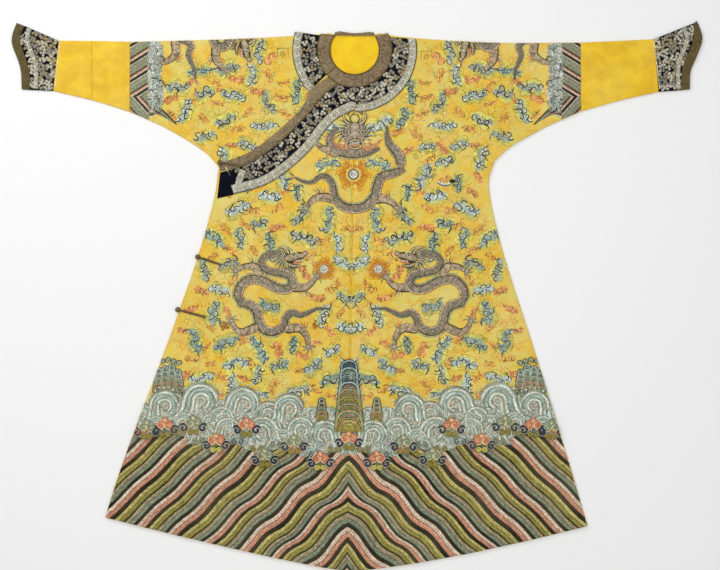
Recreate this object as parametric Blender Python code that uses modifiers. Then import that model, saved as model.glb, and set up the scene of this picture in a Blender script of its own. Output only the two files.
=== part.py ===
"""A dragon robe with hoof cuffs, laid flat, front up. Metres, +X to the wearer's left, +Y to the collar, +Z up.

Each half is one cloth folded over the shoulder, front on back, closed at the sleeve and side seams. The
wearer's right half runs on under the overlap, which is sewn to the left half along the centre seam and fastens
at the right side. Every outline lies in the plane the robe rests on, and the layers are stacked on it from z = 0.
"""

import math
from collections import namedtuple

import bmesh
import bpy
from mathutils import Vector
from mathutils.geometry import delaunay_2d_cdt

CLOTH = 0.0012  # wall of the silk with its lining
TRIM = 0.0010  # wall of the facings and of the neck lining
BINDING = 0.0012  # wall of the brown bindings
GAP = 0.0003  # left between two pieces that touch
FOLD = 0.0040  # height over a fold, outside to outside
OVERLAP_TOP = FOLD + GAP + CLOTH  # outer face of the overlap, and of the left front at the centre
FACING_TOP = OVERLAP_TOP + GAP + TRIM
BINDING_TOP = OVERLAP_TOP + GAP + BINDING
FOLD_STEPS = 4  # facets round a fold

PANEL_GRID = 0.085  # spacing of the points inside a panel
EDGE_STEP = 0.055  # longest edge along an outline
RISE = 0.080  # the cloth climbs from a fold to its full height over this
SLEEVE_PUFF = 0.0011  # how far the upper layer of a sleeve stands above its folds
SLEEVE_FOOT = 0.40  # the sleeves' puff stays above this height

NECK = Vector((-0.0063, 0.6634))  # centre of the round neck opening
NECK_RADIUS = 0.0653
BINDING_RADIUS = 0.1004  # outer edge of the brown neck binding
COLLAR_RADIUS = 0.1680  # outer edge of the round collar facing
LEFT_FOLD_ANGLE = 27  # where the collar meets the shoulder fold, in degrees about the neck centre
RIGHT_FOLD_ANGLE = 154
SPLIT_ANGLE = 224  # where the overlap's corner leaves the neck
CENTRE_ANGLE = 270

HEM_CENTRE = Vector((-0.0270, -0.7425))
HEM_STEPS = 12  # points along half of the hem
SEAM_HEIGHTS = (-0.45, -0.15, 0.15, 0.42)  # points along the centre seam
BACK_NECK = 0.7040  # height of the back of the neck
LEFT_FRONT_HEAD = 0.55  # where the left front's edge leaves the centre seam for the neck
OVERLAP_FOOT = -0.7420
UNDERLAP_FOOT = -0.72
UNDERLAP_HEAD = 0.59
UNDERLAP_ANGLE = 245  # where the inner front's edge reaches the neck
NECK_STEPS = 8  # facets round each half's share of the neck
UNDERLAP_INSET = 0.025  # the inner front stops this far short of the centre seam
UNDERLAP_LIFT = 0.012  # and this far above the hem
CUFF_BAND_TOP = 0.0046
CROSS_POINTS = 7  # points across a plain sleeve
PUFF_CLEARANCE = 1.4 * PANEL_GRID  # the right sleeve's puff keeps this far from the overlap's free edge
RIGHT_CHEST = Vector((-0.25, 0.50))  # points well inside each half, to tell the outward side of a fold
RIGHT_WAIST = Vector((-0.20, -0.12))
LEFT_CHEST = Vector((0.25, 0.50))
LEFT_WAIST = Vector((0.10, 0.30))

Place = namedtuple("Place", "name x y")
Strip = namedtuple("Strip", "name x_top y_top x_bottom y_bottom")
Hem = namedtuple("Hem", "corner_x corner_y bend")

RIGHT_SHOULDER = (
    Place("neck", -0.0715, 0.7095),
    Place("collar edge", -0.1700, 0.7020),
    Place("upper arm", -0.3430, 0.6930),
    Place("sleeve end", -0.6130, 0.6860),
)
RIGHT_UNDERSLEEVE = (
    Place("sleeve end", -0.6130, 0.4970),
    Place("elbow", -0.5050, 0.4480),
    Place("upper arm", -0.4080, 0.3860),
    Place("underarm", -0.3730, 0.3480),
)
RIGHT_SIDE = (
    Place("underarm", -0.3730, 0.3480),
    Place("chest", -0.3860, 0.2590),
    Place("waist", -0.4320, 0.0970),
    Place("hip", -0.5080, -0.1190),
    Place("knee", -0.6290, -0.4430),
    Place("hem", -0.6790, -0.5970),
)
RIGHT_HEM = Hem(-0.6790, -0.5970, 1.15)

LEFT_SHOULDER = (
    Place("neck", 0.0590, 0.7095),
    Place("collar edge", 0.1430, 0.6970),
    Place("upper arm", 0.3700, 0.6835),
    Place("sleeve end", 0.6040, 0.6840),
)
LEFT_UNDERSLEEVE = (
    Place("sleeve end", 0.6040, 0.4980),
    Place("elbow", 0.5000, 0.4510),
    Place("upper arm", 0.4020, 0.3940),
    Place("crook", 0.3680, 0.3580),
    Place("underarm", 0.3560, 0.3130),
    Place("chest", 0.3660, 0.2320),
    Place("waist", 0.4000, 0.0970),
    Place("hip", 0.4700, -0.1190),
    Place("knee", 0.5700, -0.4430),
    Place("hem", 0.6220, -0.6200),
)
LEFT_HEM = Hem(0.6220, -0.6200, 1.37)

RIGHT_EXTENSION = (
    Strip("sleeve end", -0.6130, 0.6860, -0.6130, 0.4970),
    Strip("forearm", -0.6950, 0.6880, -0.6950, 0.5230),
    Strip("cuff", -0.8040, 0.6890, -0.8195, 0.5535),
)
LEFT_EXTENSION = (
    Strip("sleeve end", 0.6040, 0.6840, 0.6040, 0.4980),
    Strip("forearm", 0.7000, 0.6880, 0.7000, 0.5250),
    Strip("cuff", 0.8005, 0.6930, 0.8130, 0.5510),
)
# The two edges of the brown binding round each cuff mouth, from the hoof's tip down.
RIGHT_BAND = (
    Strip("tip", -0.8980, 0.7290, -0.9190, 0.7370),
    Strip("brow", -0.9090, 0.6910, -0.9315, 0.6880),
    Strip("hollow", -0.8910, 0.6330, -0.9150, 0.6370),
    Strip("heel", -0.8840, 0.6020, -0.9070, 0.6070),
    Strip("bottom", -0.8830, 0.5560, -0.9045, 0.5575),
)
LEFT_BAND = (
    Strip("tip", 0.9085, 0.7360, 0.9175, 0.7425),
    Strip("brow", 0.9070, 0.6910, 0.9315, 0.6940),
    Strip("hollow", 0.8910, 0.6470, 0.9140, 0.6400),
    Strip("heel", 0.8780, 0.6130, 0.9000, 0.6060),
    Strip("bottom", 0.8745, 0.5550, 0.8975, 0.5575),
)

# The overlap's brown binding: its free edge, and its seam with the navy facing.
OVERLAP_FREE_EDGE = (
    Place("neck", -0.0818, 0.5902),
    Place("corner", -0.1258, 0.5535),
    Place("collarbone", -0.1539, 0.5022),
    Place("breast", -0.2240, 0.4360),
    Place("ribs", -0.2926, 0.3861),
    Place("side", -0.3700, 0.3580),
)
OVERLAP_SEAM = (
    Place("neck", -0.0513, 0.5737),
    Place("corner", -0.0945, 0.5373),
    Place("collarbone", -0.1269, 0.4968),
    Place("breast", -0.2060, 0.4170),
    Place("ribs", -0.2950, 0.3560),
    Place("side", -0.3700, 0.3365),
)
# The facing's lower edge on the overlap, from the centre seam to the navy end piece.
FACING_EDGE = (
    Place("centre", -0.0090, 0.5010),
    Place("corner", -0.0650, 0.4682),
    Place("breast", -0.1404, 0.3780),
    Place("ribs", -0.2350, 0.3050),
    Place("end piece", -0.3321, 0.2740),
)
END_PIECE = (
    Place("seam top", -0.3060, 0.3500),
    Place("facing end", -0.3321, 0.2740),
    Place("side bottom", -0.3770, 0.2630),
    Place("side top", -0.3690, 0.3330),
)

# The pieces round the neck: each a band between two arcs about the neck centre, angles in degrees.
Ring = namedtuple("Ring", "name inner inner_arc outer outer_arc count top finish wall")
RING_EDGE = BINDING_RADIUS + 2 * GAP  # where a facing meets the neck binding
RING_STEPS = 24
RIGHT_FACING_TOP = FOLD + GAP + TRIM
RIGHT_BAND_TOP = FOLD + GAP + BINDING
COLLAR_RINGS = (
    Ring("right_collar_facing", RING_EDGE, (157, 221), COLLAR_RADIUS, (163, 222), 12, RIGHT_FACING_TOP, "navy", TRIM),
    Ring("left_collar_facing", RING_EDGE, (270, 380), COLLAR_RADIUS, (270, 370), 20, FACING_TOP, "navy", TRIM),
    Ring("right_neck_binding", NECK_RADIUS, (142, 223), BINDING_RADIUS, (154, 223), 13, RIGHT_BAND_TOP, "brown", BINDING),
    Ring("left_neck_binding", NECK_RADIUS, (224, 395), BINDING_RADIUS, (224, 387), 28, BINDING_TOP, "brown", BINDING),
)
BACK_BINDING_UPPER = (
    Place("right end", -0.0600, 0.7110),
    Place("right crest", -0.0535, 0.7150),
    Place("middle", -0.0063, 0.7085),
    Place("left crest", 0.0395, 0.7130),
    Place("left end", 0.0460, 0.7105),
)
BACK_BINDING_LOWER = (Place("right end", -0.0600, 0.7030), Place("left end", 0.0460, 0.7030))
BACK_BINDING_TOP = CLOTH + 2 * GAP + TRIM + BINDING

LINING_REACH = NECK_RADIUS + 0.018  # the lining runs on under the collar
LINING_HEAD = 0.7000
LINING_ANGLES = (3.5, 3.9, 4.3, 4.71, 5.1, 5.5, 5.9)  # radians about the neck centre, round the lower side
OVERLAP_RING_END = 243  # the overlap's binding and facing part here, in degrees round the neck
FACING_RING_END = 245
TRIM_GAP = 3 * GAP  # left along a seam between two pieces of trim

# Each fastening: its knob at the side edge, and the far end of its loop's tails.
Fastening = namedtuple("Fastening", "name knob_x knob_y tail_x tail_y base")
FASTENINGS = (
    Fastening("underarm", -0.3690, 0.3590, -0.3140, 0.3500, BINDING_TOP),
    Fastening("waist", -0.4290, 0.1050, -0.3650, 0.0837, OVERLAP_TOP),
    Fastening("hip", -0.4830, -0.0370, -0.4080, -0.0570, OVERLAP_TOP),
)
CORD = 0.0014  # radius of the loops' cord
TAIL_SPREAD = CORD + 0.00025  # each tail of a loop lies this far from the loop's middle line
KNOB = 0.0055  # radius of a knob across, and KNOB_RISE up
KNOB_RISE = 0.0040
EYE = KNOB + 0.6 * CORD  # radius of the loop's eye
EYE_NECK = EYE + 3 * CORD  # where the two tails come together
EYE_STEPS = 8
KNOB_SEAT = CORD + 0.55 * KNOB_RISE  # the knob's middle stands this far above the cord's
KNOB_MERIDIANS = 14
KNOB_RINGS = 8

# Each finish: its colour and its roughness.
Finish = namedtuple("Finish", "colour roughness")
FINISHES = {
    "yellow": Finish((0.86, 0.58, 0.03), 0.45),
    "plain_yellow": Finish((0.90, 0.62, 0.04), 0.35),
    "lining": Finish((0.94, 0.66, 0.01), 0.40),
    "navy": Finish((0.012, 0.012, 0.045), 0.60),
    "brown": Finish((0.17, 0.10, 0.04), 0.70),
    "cord": Finish((0.12, 0.07, 0.025), 0.70),
}


def clear_scene():
    for obj in list(bpy.data.objects):
        bpy.data.objects.remove(obj, do_unlink=True)


def smooth(t):
    t = min(max(t, 0.0), 1.0)
    return t * t * (3 - 2 * t)


def points(places):
    return [Vector((place.x, place.y)) for place in places]


def curve_through(knots, steps):
    """A smooth curve through the knots, with the same number of steps between each two."""
    first = knots[0] * 2 - knots[1]
    last = knots[-1] * 2 - knots[-2]
    padded = [first, *knots, last]
    curve = [knots[0].copy()]
    for i in range(len(knots) - 1):
        a, b, c, d = padded[i : i + 4]
        for step in range(1, steps + 1):
            t = step / steps
            bend = (c - a) * t + (a * 2 - b * 5 + c * 4 - d) * t**2 + (b * 3 - a - c * 3 + d) * t**3
            curve.append(b + bend * 0.5)
    return curve


def resample(line, count):
    """count points, evenly spaced along a line."""
    lengths = [0.0]
    for a, b in zip(line, line[1:]):
        lengths.append(lengths[-1] + (b - a).length)
    result, i = [], 0
    for k in range(count):
        want = lengths[-1] * k / (count - 1)
        while i < len(line) - 2 and lengths[i + 1] < want:
            i += 1
        share = (want - lengths[i]) / (lengths[i + 1] - lengths[i])
        result.append(line[i].lerp(line[i + 1], share))
    return result


def even(line):
    """The line with steps of at most EDGE_STEP."""
    length = sum((b - a).length for a, b in zip(line, line[1:]))
    return resample(line, max(2, math.ceil(length / EDGE_STEP) + 1))


def arc(radius, start, end, steps):
    angles = [math.radians(start + (end - start) * k / steps) for k in range(steps + 1)]
    return [NECK + Vector((math.cos(a), math.sin(a))) * radius for a in angles]


def centre_x(y):
    """The centre seam runs from the neck to the middle of the hem."""
    share = (NECK.y - y) / (NECK.y - HEM_CENTRE.y)
    return NECK.x + (HEM_CENTRE.x - NECK.x) * share


def hem_line(hem, steps, lift=0.0):
    """From a hem corner to the centre: the hem rises outwards by a power of the distance."""
    rise = hem.corner_y - HEM_CENTRE.y
    width = hem.corner_x - HEM_CENTRE.x
    shares = [1 - k / steps for k in range(steps + 1)]
    return [HEM_CENTRE + Vector((width * s, rise * s**hem.bend + lift)) for s in shares]


def outward_normals(line, inside):
    """The normal at each point of a line, pointing away from a point inside the panel."""
    normals = []
    for i, point in enumerate(line):
        along = line[min(i + 1, len(line) - 1)] - line[max(i - 1, 0)]
        normal = Vector((along.y, -along.x)).normalized()
        side = 1 if normal.dot(point - inside) > 0 else -1
        normals.append(normal * side)
    return normals


def distance_to(line, point):
    best = math.inf
    for a, b in zip(line, line[1:]):
        along = b - a
        share = min(max((point - a).dot(along) / along.length_squared, 0.0), 1.0)
        best = min(best, (a + along * share - point).length)
    return best


def contains(outline, point):
    inside = False
    for a, b in zip(outline, [*outline[1:], outline[0]]):
        if (a.y > point.y) != (b.y > point.y):
            if point.x < a.x + (point.y - a.y) / (b.y - a.y) * (b.x - a.x):
                inside = not inside
    return inside


def fill(outline):
    """(points, triangles) of a flat panel; the first points are the outline's own."""
    row_height = PANEL_GRID * math.sqrt(0.75)
    low = Vector((min(p.x for p in outline), min(p.y for p in outline)))
    high = Vector((max(p.x for p in outline), max(p.y for p in outline)))
    rim = [*outline, outline[0]]
    inner = []
    for row in range(1, int((high.y - low.y) / row_height) + 1):
        for column in range(int((high.x - low.x) / PANEL_GRID) + 2):
            shift = 0.5 * (row % 2)
            point = low + Vector(((column + shift) * PANEL_GRID, row * row_height))
            if contains(outline, point) and distance_to(rim, point) > 0.45 * PANEL_GRID:
                inner.append(point)
    loop = list(range(len(outline)))
    found = delaunay_2d_cdt([*outline, *inner], [], [loop], 1, 1e-7)
    return found[0], [tuple(face) for face in found[2]]


def new_object(name, bm, finish, wall):
    mesh = bpy.data.meshes.new(name)
    bm.to_mesh(mesh)
    bm.free()
    obj = bpy.data.objects.new(name, mesh)
    robe.objects.link(obj)
    obj.data.materials.append(material(name, finish))
    shell = obj.modifiers.new("Wall", "SOLIDIFY")
    shell.thickness = wall
    shell.offset = -1
    return obj


def material(name, finish):
    made = bpy.data.materials.new(name + "_material")
    made.use_nodes = True
    shader = made.node_tree.nodes["Principled BSDF"]
    shader.inputs["Base Color"].default_value = (*FINISHES[finish].colour, 1)
    shader.inputs["Roughness"].default_value = FINISHES[finish].roughness
    shader.inputs["Metallic"].default_value = 0.0
    return made


def add_layer(bm, flat_points, triangles, height, facing_up):
    verts = [bm.verts.new((p.x, p.y, height(p))) for p in flat_points]
    for triangle in triangles:
        a, b, c = (flat_points[i] for i in triangle)
        turns_left = (b - a).cross(c - a) > 0
        order = triangle if turns_left == facing_up else triangle[::-1]
        bm.faces.new([verts[i] for i in order])
    return verts


def add_fold(bm, upper, lower, normals):
    """Facets round the fold that joins each upper point to the lower point under it."""
    columns = []
    for top, bottom, normal in zip(upper, lower, normals):
        radius = (top.co.z - bottom.co.z) / 2
        column = [top]
        for step in range(1, FOLD_STEPS):
            angle = math.pi * step / FOLD_STEPS
            out = normal * (radius * math.sin(angle))
            z = bottom.co.z + radius * (1 + math.cos(angle))
            column.append(bm.verts.new((top.co.x + out.x, top.co.y + out.y, z)))
        column.append(bottom)
        columns.append(column)
    for left, right, outwards in zip(columns, columns[1:], normals):
        for step in range(FOLD_STEPS):
            face = bm.faces.new((left[step], left[step + 1], right[step + 1], right[step]))
            face.normal_update()
            if face.normal.xy.dot(outwards) < 0:
                face.normal_flip()


def panel(name, outline, top, finish, wall):
    """A flat panel whose outer face is at the height top."""
    bm = bmesh.new()
    flat_points, triangles = fill(outline)
    add_layer(bm, flat_points, triangles, lambda p: top, True)
    return new_object(name, bm, finish, wall)


def band(name, edge, other_edge, count, top, finish, wall):
    """A strip of cloth between two edges, with count points along each."""
    bm = bmesh.new()
    one = [bm.verts.new((p.x, p.y, top)) for p in resample(edge, count)]
    two = [bm.verts.new((p.x, p.y, top)) for p in resample(other_edge, count)]
    for i in range(count - 1):
        face = bm.faces.new((one[i], one[i + 1], two[i + 1], two[i]))
        face.normal_update()
        if face.normal.z < 0:
            face.normal_flip()
    return new_object(name, bm, finish, wall)


def folded_half(name, folds, front_rest, back_rest, top):
    """One half of the robe. folds are the outer edges where front meets back, from the neck to the hem corner,
    each with a point inside the panel. The rests close the two outlines from the hem corner to the neck."""
    radius = FOLD / 2
    joined, normals, ranges = [], [], []
    for line, inside in folds:
        line = even(line)
        ranges.append((len(joined), len(joined) + len(line)))
        joined += line
        normals += outward_normals(line, inside)
    inset = [p - n * radius for p, n in zip(joined, normals)]
    keep = [i for i in range(len(inset)) if i == 0 or (inset[i] - inset[i - 1]).length > 1e-5]
    bm = bmesh.new()
    sides = []
    for rest, height, up in ((front_rest, top, True), (back_rest, lambda p: 0.0, False)):
        outline = [inset[i] for i in keep] + rest
        flat_points, triangles = fill(outline)
        sides.append(add_layer(bm, flat_points, triangles, height, up))
    order = {i: k for k, i in enumerate(keep)}
    for start, end in ranges:
        members = [i for i in range(start, end) if i in order]
        upper = [sides[0][order[i]] for i in members]
        lower = [sides[1][order[i]] for i in members]
        add_fold(bm, upper, lower, [normals[i] for i in members])
    return new_object(name, bm, "yellow", CLOTH)


def flat_tube(name, sections, top, puff, finish):
    """A flattened tube through sections, each a line of points from its upper fold to its lower fold."""
    radius = top / 2
    bm = bmesh.new()
    rings = []
    for line in sections:
        down = (line[-1] - line[0]).normalized()
        line = [line[0] + down * radius, *line[1:-1], line[-1] - down * radius]
        ring = []
        for k, point in enumerate(line):
            lift = puff * math.sin(math.pi * k / (len(line) - 1))
            ring.append(bm.verts.new((point.x, point.y, top + lift)))
        for corner, sign in ((line[-1], 1), (line[0], -1)):
            fold = []
            for step in range(1, FOLD_STEPS):
                angle = math.pi * step / FOLD_STEPS
                out = corner + down * (sign * radius * math.sin(angle))
                fold.append((out.x, out.y, radius * (1 + sign * math.cos(angle))))
            ring += [bm.verts.new(co) for co in fold]
            if sign == 1:
                ring += [bm.verts.new((p.x, p.y, 0.0)) for p in reversed(line)]
        rings.append(ring)
    for one, two in zip(rings, rings[1:]):
        for k in range(len(one)):
            following = (k + 1) % len(one)
            bm.faces.new((one[k], one[following], two[following], two[k]))
    bmesh.ops.recalc_face_normals(bm, faces=bm.faces)
    middle = sum((v.co for v in bm.verts), Vector()) / len(bm.verts)
    highest = max(bm.faces, key=lambda f: f.calc_center_median().z)
    if highest.normal.z < 0 and middle.z < top:
        bmesh.ops.reverse_faces(bm, faces=bm.faces)
    return new_object(name, bm, finish, CLOTH)


def cross_lines(strips, count):
    """The straight line down each strip, from its top place to its bottom place."""
    lines = []
    for s in strips:
        top, bottom = Vector((s.x_top, s.y_top)), Vector((s.x_bottom, s.y_bottom))
        lines.append([top.lerp(bottom, k / (count - 1)) for k in range(count)])
    return lines


def band_edges(strips):
    """The seam edge and the outer edge of a cuff binding, as smooth curves from the tip down."""
    seam = curve_through([Vector((s.x_top, s.y_top)) for s in strips], 3)
    mouth = curve_through([Vector((s.x_bottom, s.y_bottom)) for s in strips], 3)
    return seam, mouth


def shifted(line, dx):
    return [p + Vector((dx, 0)) for p in line]


def make_sleeve_end(side, extension, strips, sign):
    """The plain sleeve, the hoof cuff and its binding. sign is -1 at the wearer's right."""
    lines = cross_lines(extension, CROSS_POINTS)
    lines[0] = shifted(lines[0], sign * GAP)
    flat_tube(side + "_sleeve_extension", lines, FOLD, SLEEVE_PUFF, "plain_yellow")
    seam, mouth = band_edges(strips)
    wrist = cross_lines(extension[-1:], len(seam))[0]
    start = shifted(wrist, sign * GAP)
    middle = [a.lerp(b, 0.5) for a, b in zip(start, seam)]
    flat_tube(side + "_hoof_cuff", [start, middle, shifted(seam, -sign * GAP)], FOLD, 0.0, "navy")
    flat_tube(side + "_cuff_binding", [seam, mouth], CUFF_BAND_TOP, 0.0, "brown")


def overlap_corner_edge():
    """The overlap's free edge from the neck to the side; the corner stays sharp."""
    knots = points(OVERLAP_FREE_EDGE)
    return [knots[0], *curve_through(knots[1:], 3)]


def centre_seam(shift, *heights):
    """Points on the centre seam, or beside it, at these heights."""
    return [Vector((centre_x(y) + shift, y)) for y in heights]


def sleeve_depth(p, upper_fold, lower_fold):
    return min(distance_to(upper_fold, p), distance_to(lower_fold, p))


def make_right_half():
    shoulder = curve_through(points(RIGHT_SHOULDER), 3)
    under = curve_through(points(RIGHT_UNDERSLEEVE), 3)
    side = curve_through(points(RIGHT_SIDE), 3)
    free_edge = overlap_corner_edge()
    folds = ((shoulder, RIGHT_CHEST), (under, RIGHT_CHEST), (side[1:], RIGHT_WAIST))
    hem = hem_line(RIGHT_HEM, HEM_STEPS)
    back_rest = hem[1:-1] + centre_seam(-GAP, HEM_CENTRE.y, *SEAM_HEIGHTS, BACK_NECK)
    inner_hem = [p + Vector((0, UNDERLAP_LIFT)) for p in hem[2:-1]]
    front_rest = inner_hem + centre_seam(-UNDERLAP_INSET, UNDERLAP_FOOT, *SEAM_HEIGHTS, UNDERLAP_HEAD)
    front_rest += arc(NECK_RADIUS, UNDERLAP_ANGLE, RIGHT_FOLD_ANGLE - 2, NECK_STEPS)

    def top(p):
        """Flat under the overlap, and puffed over the sleeve."""
        if p.y < SLEEVE_FOOT:
            return FOLD
        away = distance_to(free_edge, p) - PUFF_CLEARANCE
        return FOLD + SLEEVE_PUFF * smooth(min(away, sleeve_depth(p, shoulder, under)) / RISE)

    folded_half("right_half", folds, front_rest, back_rest, top)


def make_left_half():
    shoulder = curve_through(points(LEFT_SHOULDER), 3)
    under_and_side = curve_through(points(LEFT_UNDERSLEEVE), 3)
    folds = ((shoulder, LEFT_CHEST), (under_and_side, LEFT_WAIST))
    hem = hem_line(LEFT_HEM, HEM_STEPS)
    back_rest = hem[1:-1] + centre_seam(0, HEM_CENTRE.y, *SEAM_HEIGHTS, BACK_NECK)
    front_rest = hem[1:-1] + centre_seam(0, HEM_CENTRE.y, *SEAM_HEIGHTS, LEFT_FRONT_HEAD)
    front_rest += arc(NECK_RADIUS, CENTRE_ANGLE, 360 + LEFT_FOLD_ANGLE + 8, NECK_STEPS)

    def top(p):
        depth = sleeve_depth(p, shoulder, under_and_side)
        return FOLD + (OVERLAP_TOP - FOLD) * smooth(depth / RISE)

    folded_half("left_half", folds, front_rest, back_rest, top)


def make_overlap():
    side = curve_through(points(RIGHT_SIDE), 3)
    below = [p for p in side if p.y < OVERLAP_SEAM[-1].y]
    hem = hem_line(RIGHT_HEM, HEM_STEPS)
    centre = centre_seam(-GAP, OVERLAP_FOOT, *SEAM_HEIGHTS)
    neck = arc(NECK_RADIUS, CENTRE_ANGLE - 1, SPLIT_ANGLE, 5)
    outline = [*below, *hem[1:-1], *centre, *neck, *overlap_corner_edge()]
    panel("overlap", outline, OVERLAP_TOP, "yellow", CLOTH)


def make_neck_lining():
    outline = [Vector((NECK.x + LINING_REACH, LINING_HEAD)), Vector((NECK.x - LINING_REACH, LINING_HEAD))]
    outline += [NECK + Vector((math.cos(a), math.sin(a))) * LINING_REACH for a in LINING_ANGLES]
    panel("back_neck_lining", outline, CLOTH + GAP + TRIM, "lining", TRIM)


def make_collar():
    for ring in COLLAR_RINGS:
        inner = arc(ring.inner, *ring.inner_arc, RING_STEPS)
        outer = arc(ring.outer, *ring.outer_arc, RING_STEPS)
        band(ring.name, inner, outer, ring.count, ring.top, ring.finish, ring.wall)
    upper = curve_through(points(BACK_BINDING_UPPER), 2)
    lower = points(BACK_BINDING_LOWER)
    band("back_neck_binding", upper, lower, len(upper), BACK_BINDING_TOP, "brown", BINDING)


def make_overlap_trim():
    free_edge = overlap_corner_edge()[1:]
    seam = curve_through(points(OVERLAP_SEAM), 3)[1:]
    neck_end = arc(RING_EDGE, OVERLAP_RING_END, SPLIT_ANGLE + 1, 6)
    outline = [*neck_end, *free_edge, *reversed(seam)]
    panel("overlap_binding", outline, BINDING_TOP, "brown", BINDING)
    corners = points(END_PIECE)
    below_seam = Vector((TRIM_GAP, -TRIM_GAP))
    seam = [p + below_seam for p in seam if p.x > corners[0].x]
    neck_end = arc(RING_EDGE, CENTRE_ANGLE - 0.5, FACING_RING_END, 6)
    facing_edge = curve_through(points(FACING_EDGE), 3)
    outline = [*neck_end, *seam, corners[0] + below_seam, *reversed(facing_edge)]
    panel("overlap_facing", outline, FACING_TOP, "navy", TRIM)
    beside = Vector((-TRIM_GAP, -TRIM_GAP))
    outline = [corners[0] + beside, corners[1] + beside, corners[2], corners[3]]
    panel("underarm_facing", outline, FACING_TOP, "navy", TRIM)


def make_loop(row, z):
    """A cord from the far end of one tail, round the eye and back, at the height z."""
    knob, tail = Vector((row.knob_x, row.knob_y)), Vector((row.tail_x, row.tail_y))
    along = (tail - knob).normalized()
    across = Vector((-along.y, along.x))
    route = [tail + across * TAIL_SPREAD, knob + along * EYE_NECK + across * TAIL_SPREAD]
    opening = math.asin(TAIL_SPREAD / EYE)
    for k in range(EYE_STEPS + 1):
        angle = opening + (2 * math.pi - 2 * opening) * k / EYE_STEPS
        route.append(knob + (along * math.cos(angle) + across * math.sin(angle)) * EYE)
    route += [knob + along * EYE_NECK - across * TAIL_SPREAD, tail - across * TAIL_SPREAD]
    cord = bpy.data.curves.new(row.name + "_loop", "CURVE")
    cord.dimensions = "3D"
    cord.bevel_depth = CORD
    cord.bevel_resolution = 2
    cord.use_fill_caps = True
    spline = cord.splines.new("POLY")
    spline.points.add(len(route) - 1)
    for point, place in zip(spline.points, route):
        point.co = (place.x, place.y, z, 1)
    cord.materials.append(material(row.name + "_loop", "cord"))
    robe.objects.link(bpy.data.objects.new(row.name + "_loop", cord))


def make_knob(row, z):
    """The knotted knob held in the loop's eye, its middle at the height z."""
    bm = bmesh.new()
    bmesh.ops.create_uvsphere(bm, u_segments=KNOB_MERIDIANS, v_segments=KNOB_RINGS, radius=KNOB)
    bmesh.ops.scale(bm, vec=(1, 1, KNOB_RISE / KNOB), verts=bm.verts)
    mesh = bpy.data.meshes.new(row.name + "_knob")
    bm.to_mesh(mesh)
    bm.free()
    mesh.materials.append(material(row.name + "_knob", "cord"))
    mesh.shade_smooth()
    ball = bpy.data.objects.new(row.name + "_knob", mesh)
    ball.location = (row.knob_x, row.knob_y, z)
    robe.objects.link(ball)


clear_scene()
robe = bpy.data.collections.new("dragon_robe")
bpy.context.scene.collection.children.link(robe)
make_right_half()
make_left_half()
make_overlap()
make_neck_lining()
make_sleeve_end("right", RIGHT_EXTENSION, RIGHT_BAND, -1)
make_sleeve_end("left", LEFT_EXTENSION, LEFT_BAND, 1)
make_collar()
make_overlap_trim()
for fastening in FASTENINGS:
    cord_height = fastening.base + GAP + CORD
    make_loop(fastening, cord_height)
    make_knob(fastening, cord_height + KNOB_SEAT)
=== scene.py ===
import math

import bmesh
import bpy
import numpy as np
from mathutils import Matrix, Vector
from mathutils.bvhtree import BVHTree
from mathutils.geometry import delaunay_2d_cdt


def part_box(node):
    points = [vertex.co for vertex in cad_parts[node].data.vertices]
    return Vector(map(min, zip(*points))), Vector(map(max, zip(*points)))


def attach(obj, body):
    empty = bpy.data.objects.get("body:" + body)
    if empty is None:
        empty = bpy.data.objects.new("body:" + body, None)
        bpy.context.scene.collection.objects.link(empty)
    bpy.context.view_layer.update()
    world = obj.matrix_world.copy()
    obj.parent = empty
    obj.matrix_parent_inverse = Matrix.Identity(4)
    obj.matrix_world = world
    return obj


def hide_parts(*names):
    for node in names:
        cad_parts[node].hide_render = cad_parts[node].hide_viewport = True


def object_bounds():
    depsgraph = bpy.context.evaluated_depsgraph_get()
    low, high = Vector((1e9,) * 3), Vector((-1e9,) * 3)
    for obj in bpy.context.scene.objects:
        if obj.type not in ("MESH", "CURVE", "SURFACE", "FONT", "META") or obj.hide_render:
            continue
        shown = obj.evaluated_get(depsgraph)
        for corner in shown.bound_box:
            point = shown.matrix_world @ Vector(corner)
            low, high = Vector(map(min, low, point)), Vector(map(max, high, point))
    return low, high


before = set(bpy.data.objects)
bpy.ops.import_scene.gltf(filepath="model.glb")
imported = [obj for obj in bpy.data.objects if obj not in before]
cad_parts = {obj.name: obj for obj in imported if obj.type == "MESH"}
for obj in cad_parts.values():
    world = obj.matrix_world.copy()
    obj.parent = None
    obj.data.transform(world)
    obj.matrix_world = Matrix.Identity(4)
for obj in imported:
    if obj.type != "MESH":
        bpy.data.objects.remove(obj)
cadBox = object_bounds()
bpy.context.scene.view_settings.view_transform = "Standard"  # keeps the dyed silk as strong as it is

# places on the robe, in metres, read off the frame where it has them
robe = {
    "neck": (-0.0063, 0.6634),       # centre of the round opening
    "neckRadius": 0.0653,
    "bandRadius": 0.1004,            # outer edge of the brown band
    "collarRadius": 0.1680,
    "hemCentre": (-0.0270, round(cadBox[0][1], 4)),
    "sleeveSeamRight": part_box("right_sleeve_extension")[1].x,
    "sleeveSeamLeft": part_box("left_sleeve_extension")[0].x,
}


def centreX(y):
    # the centre seam leans a little from the neck to the hem
    (x0, y0), (x1, y1) = robe["neck"], robe["hemCentre"]
    return x0 + (x1 - x0) * (np.asarray(y) - y0) / (y1 - y0)


def linear(red, green, blue):
    # a dye as seen, 0 to 255, to the linear value a shader takes
    c = np.array([red, green, blue]) / 255
    return tuple(np.where(c <= 0.04045, c / 12.92, ((c + 0.055) / 1.055) ** 2.4))


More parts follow.
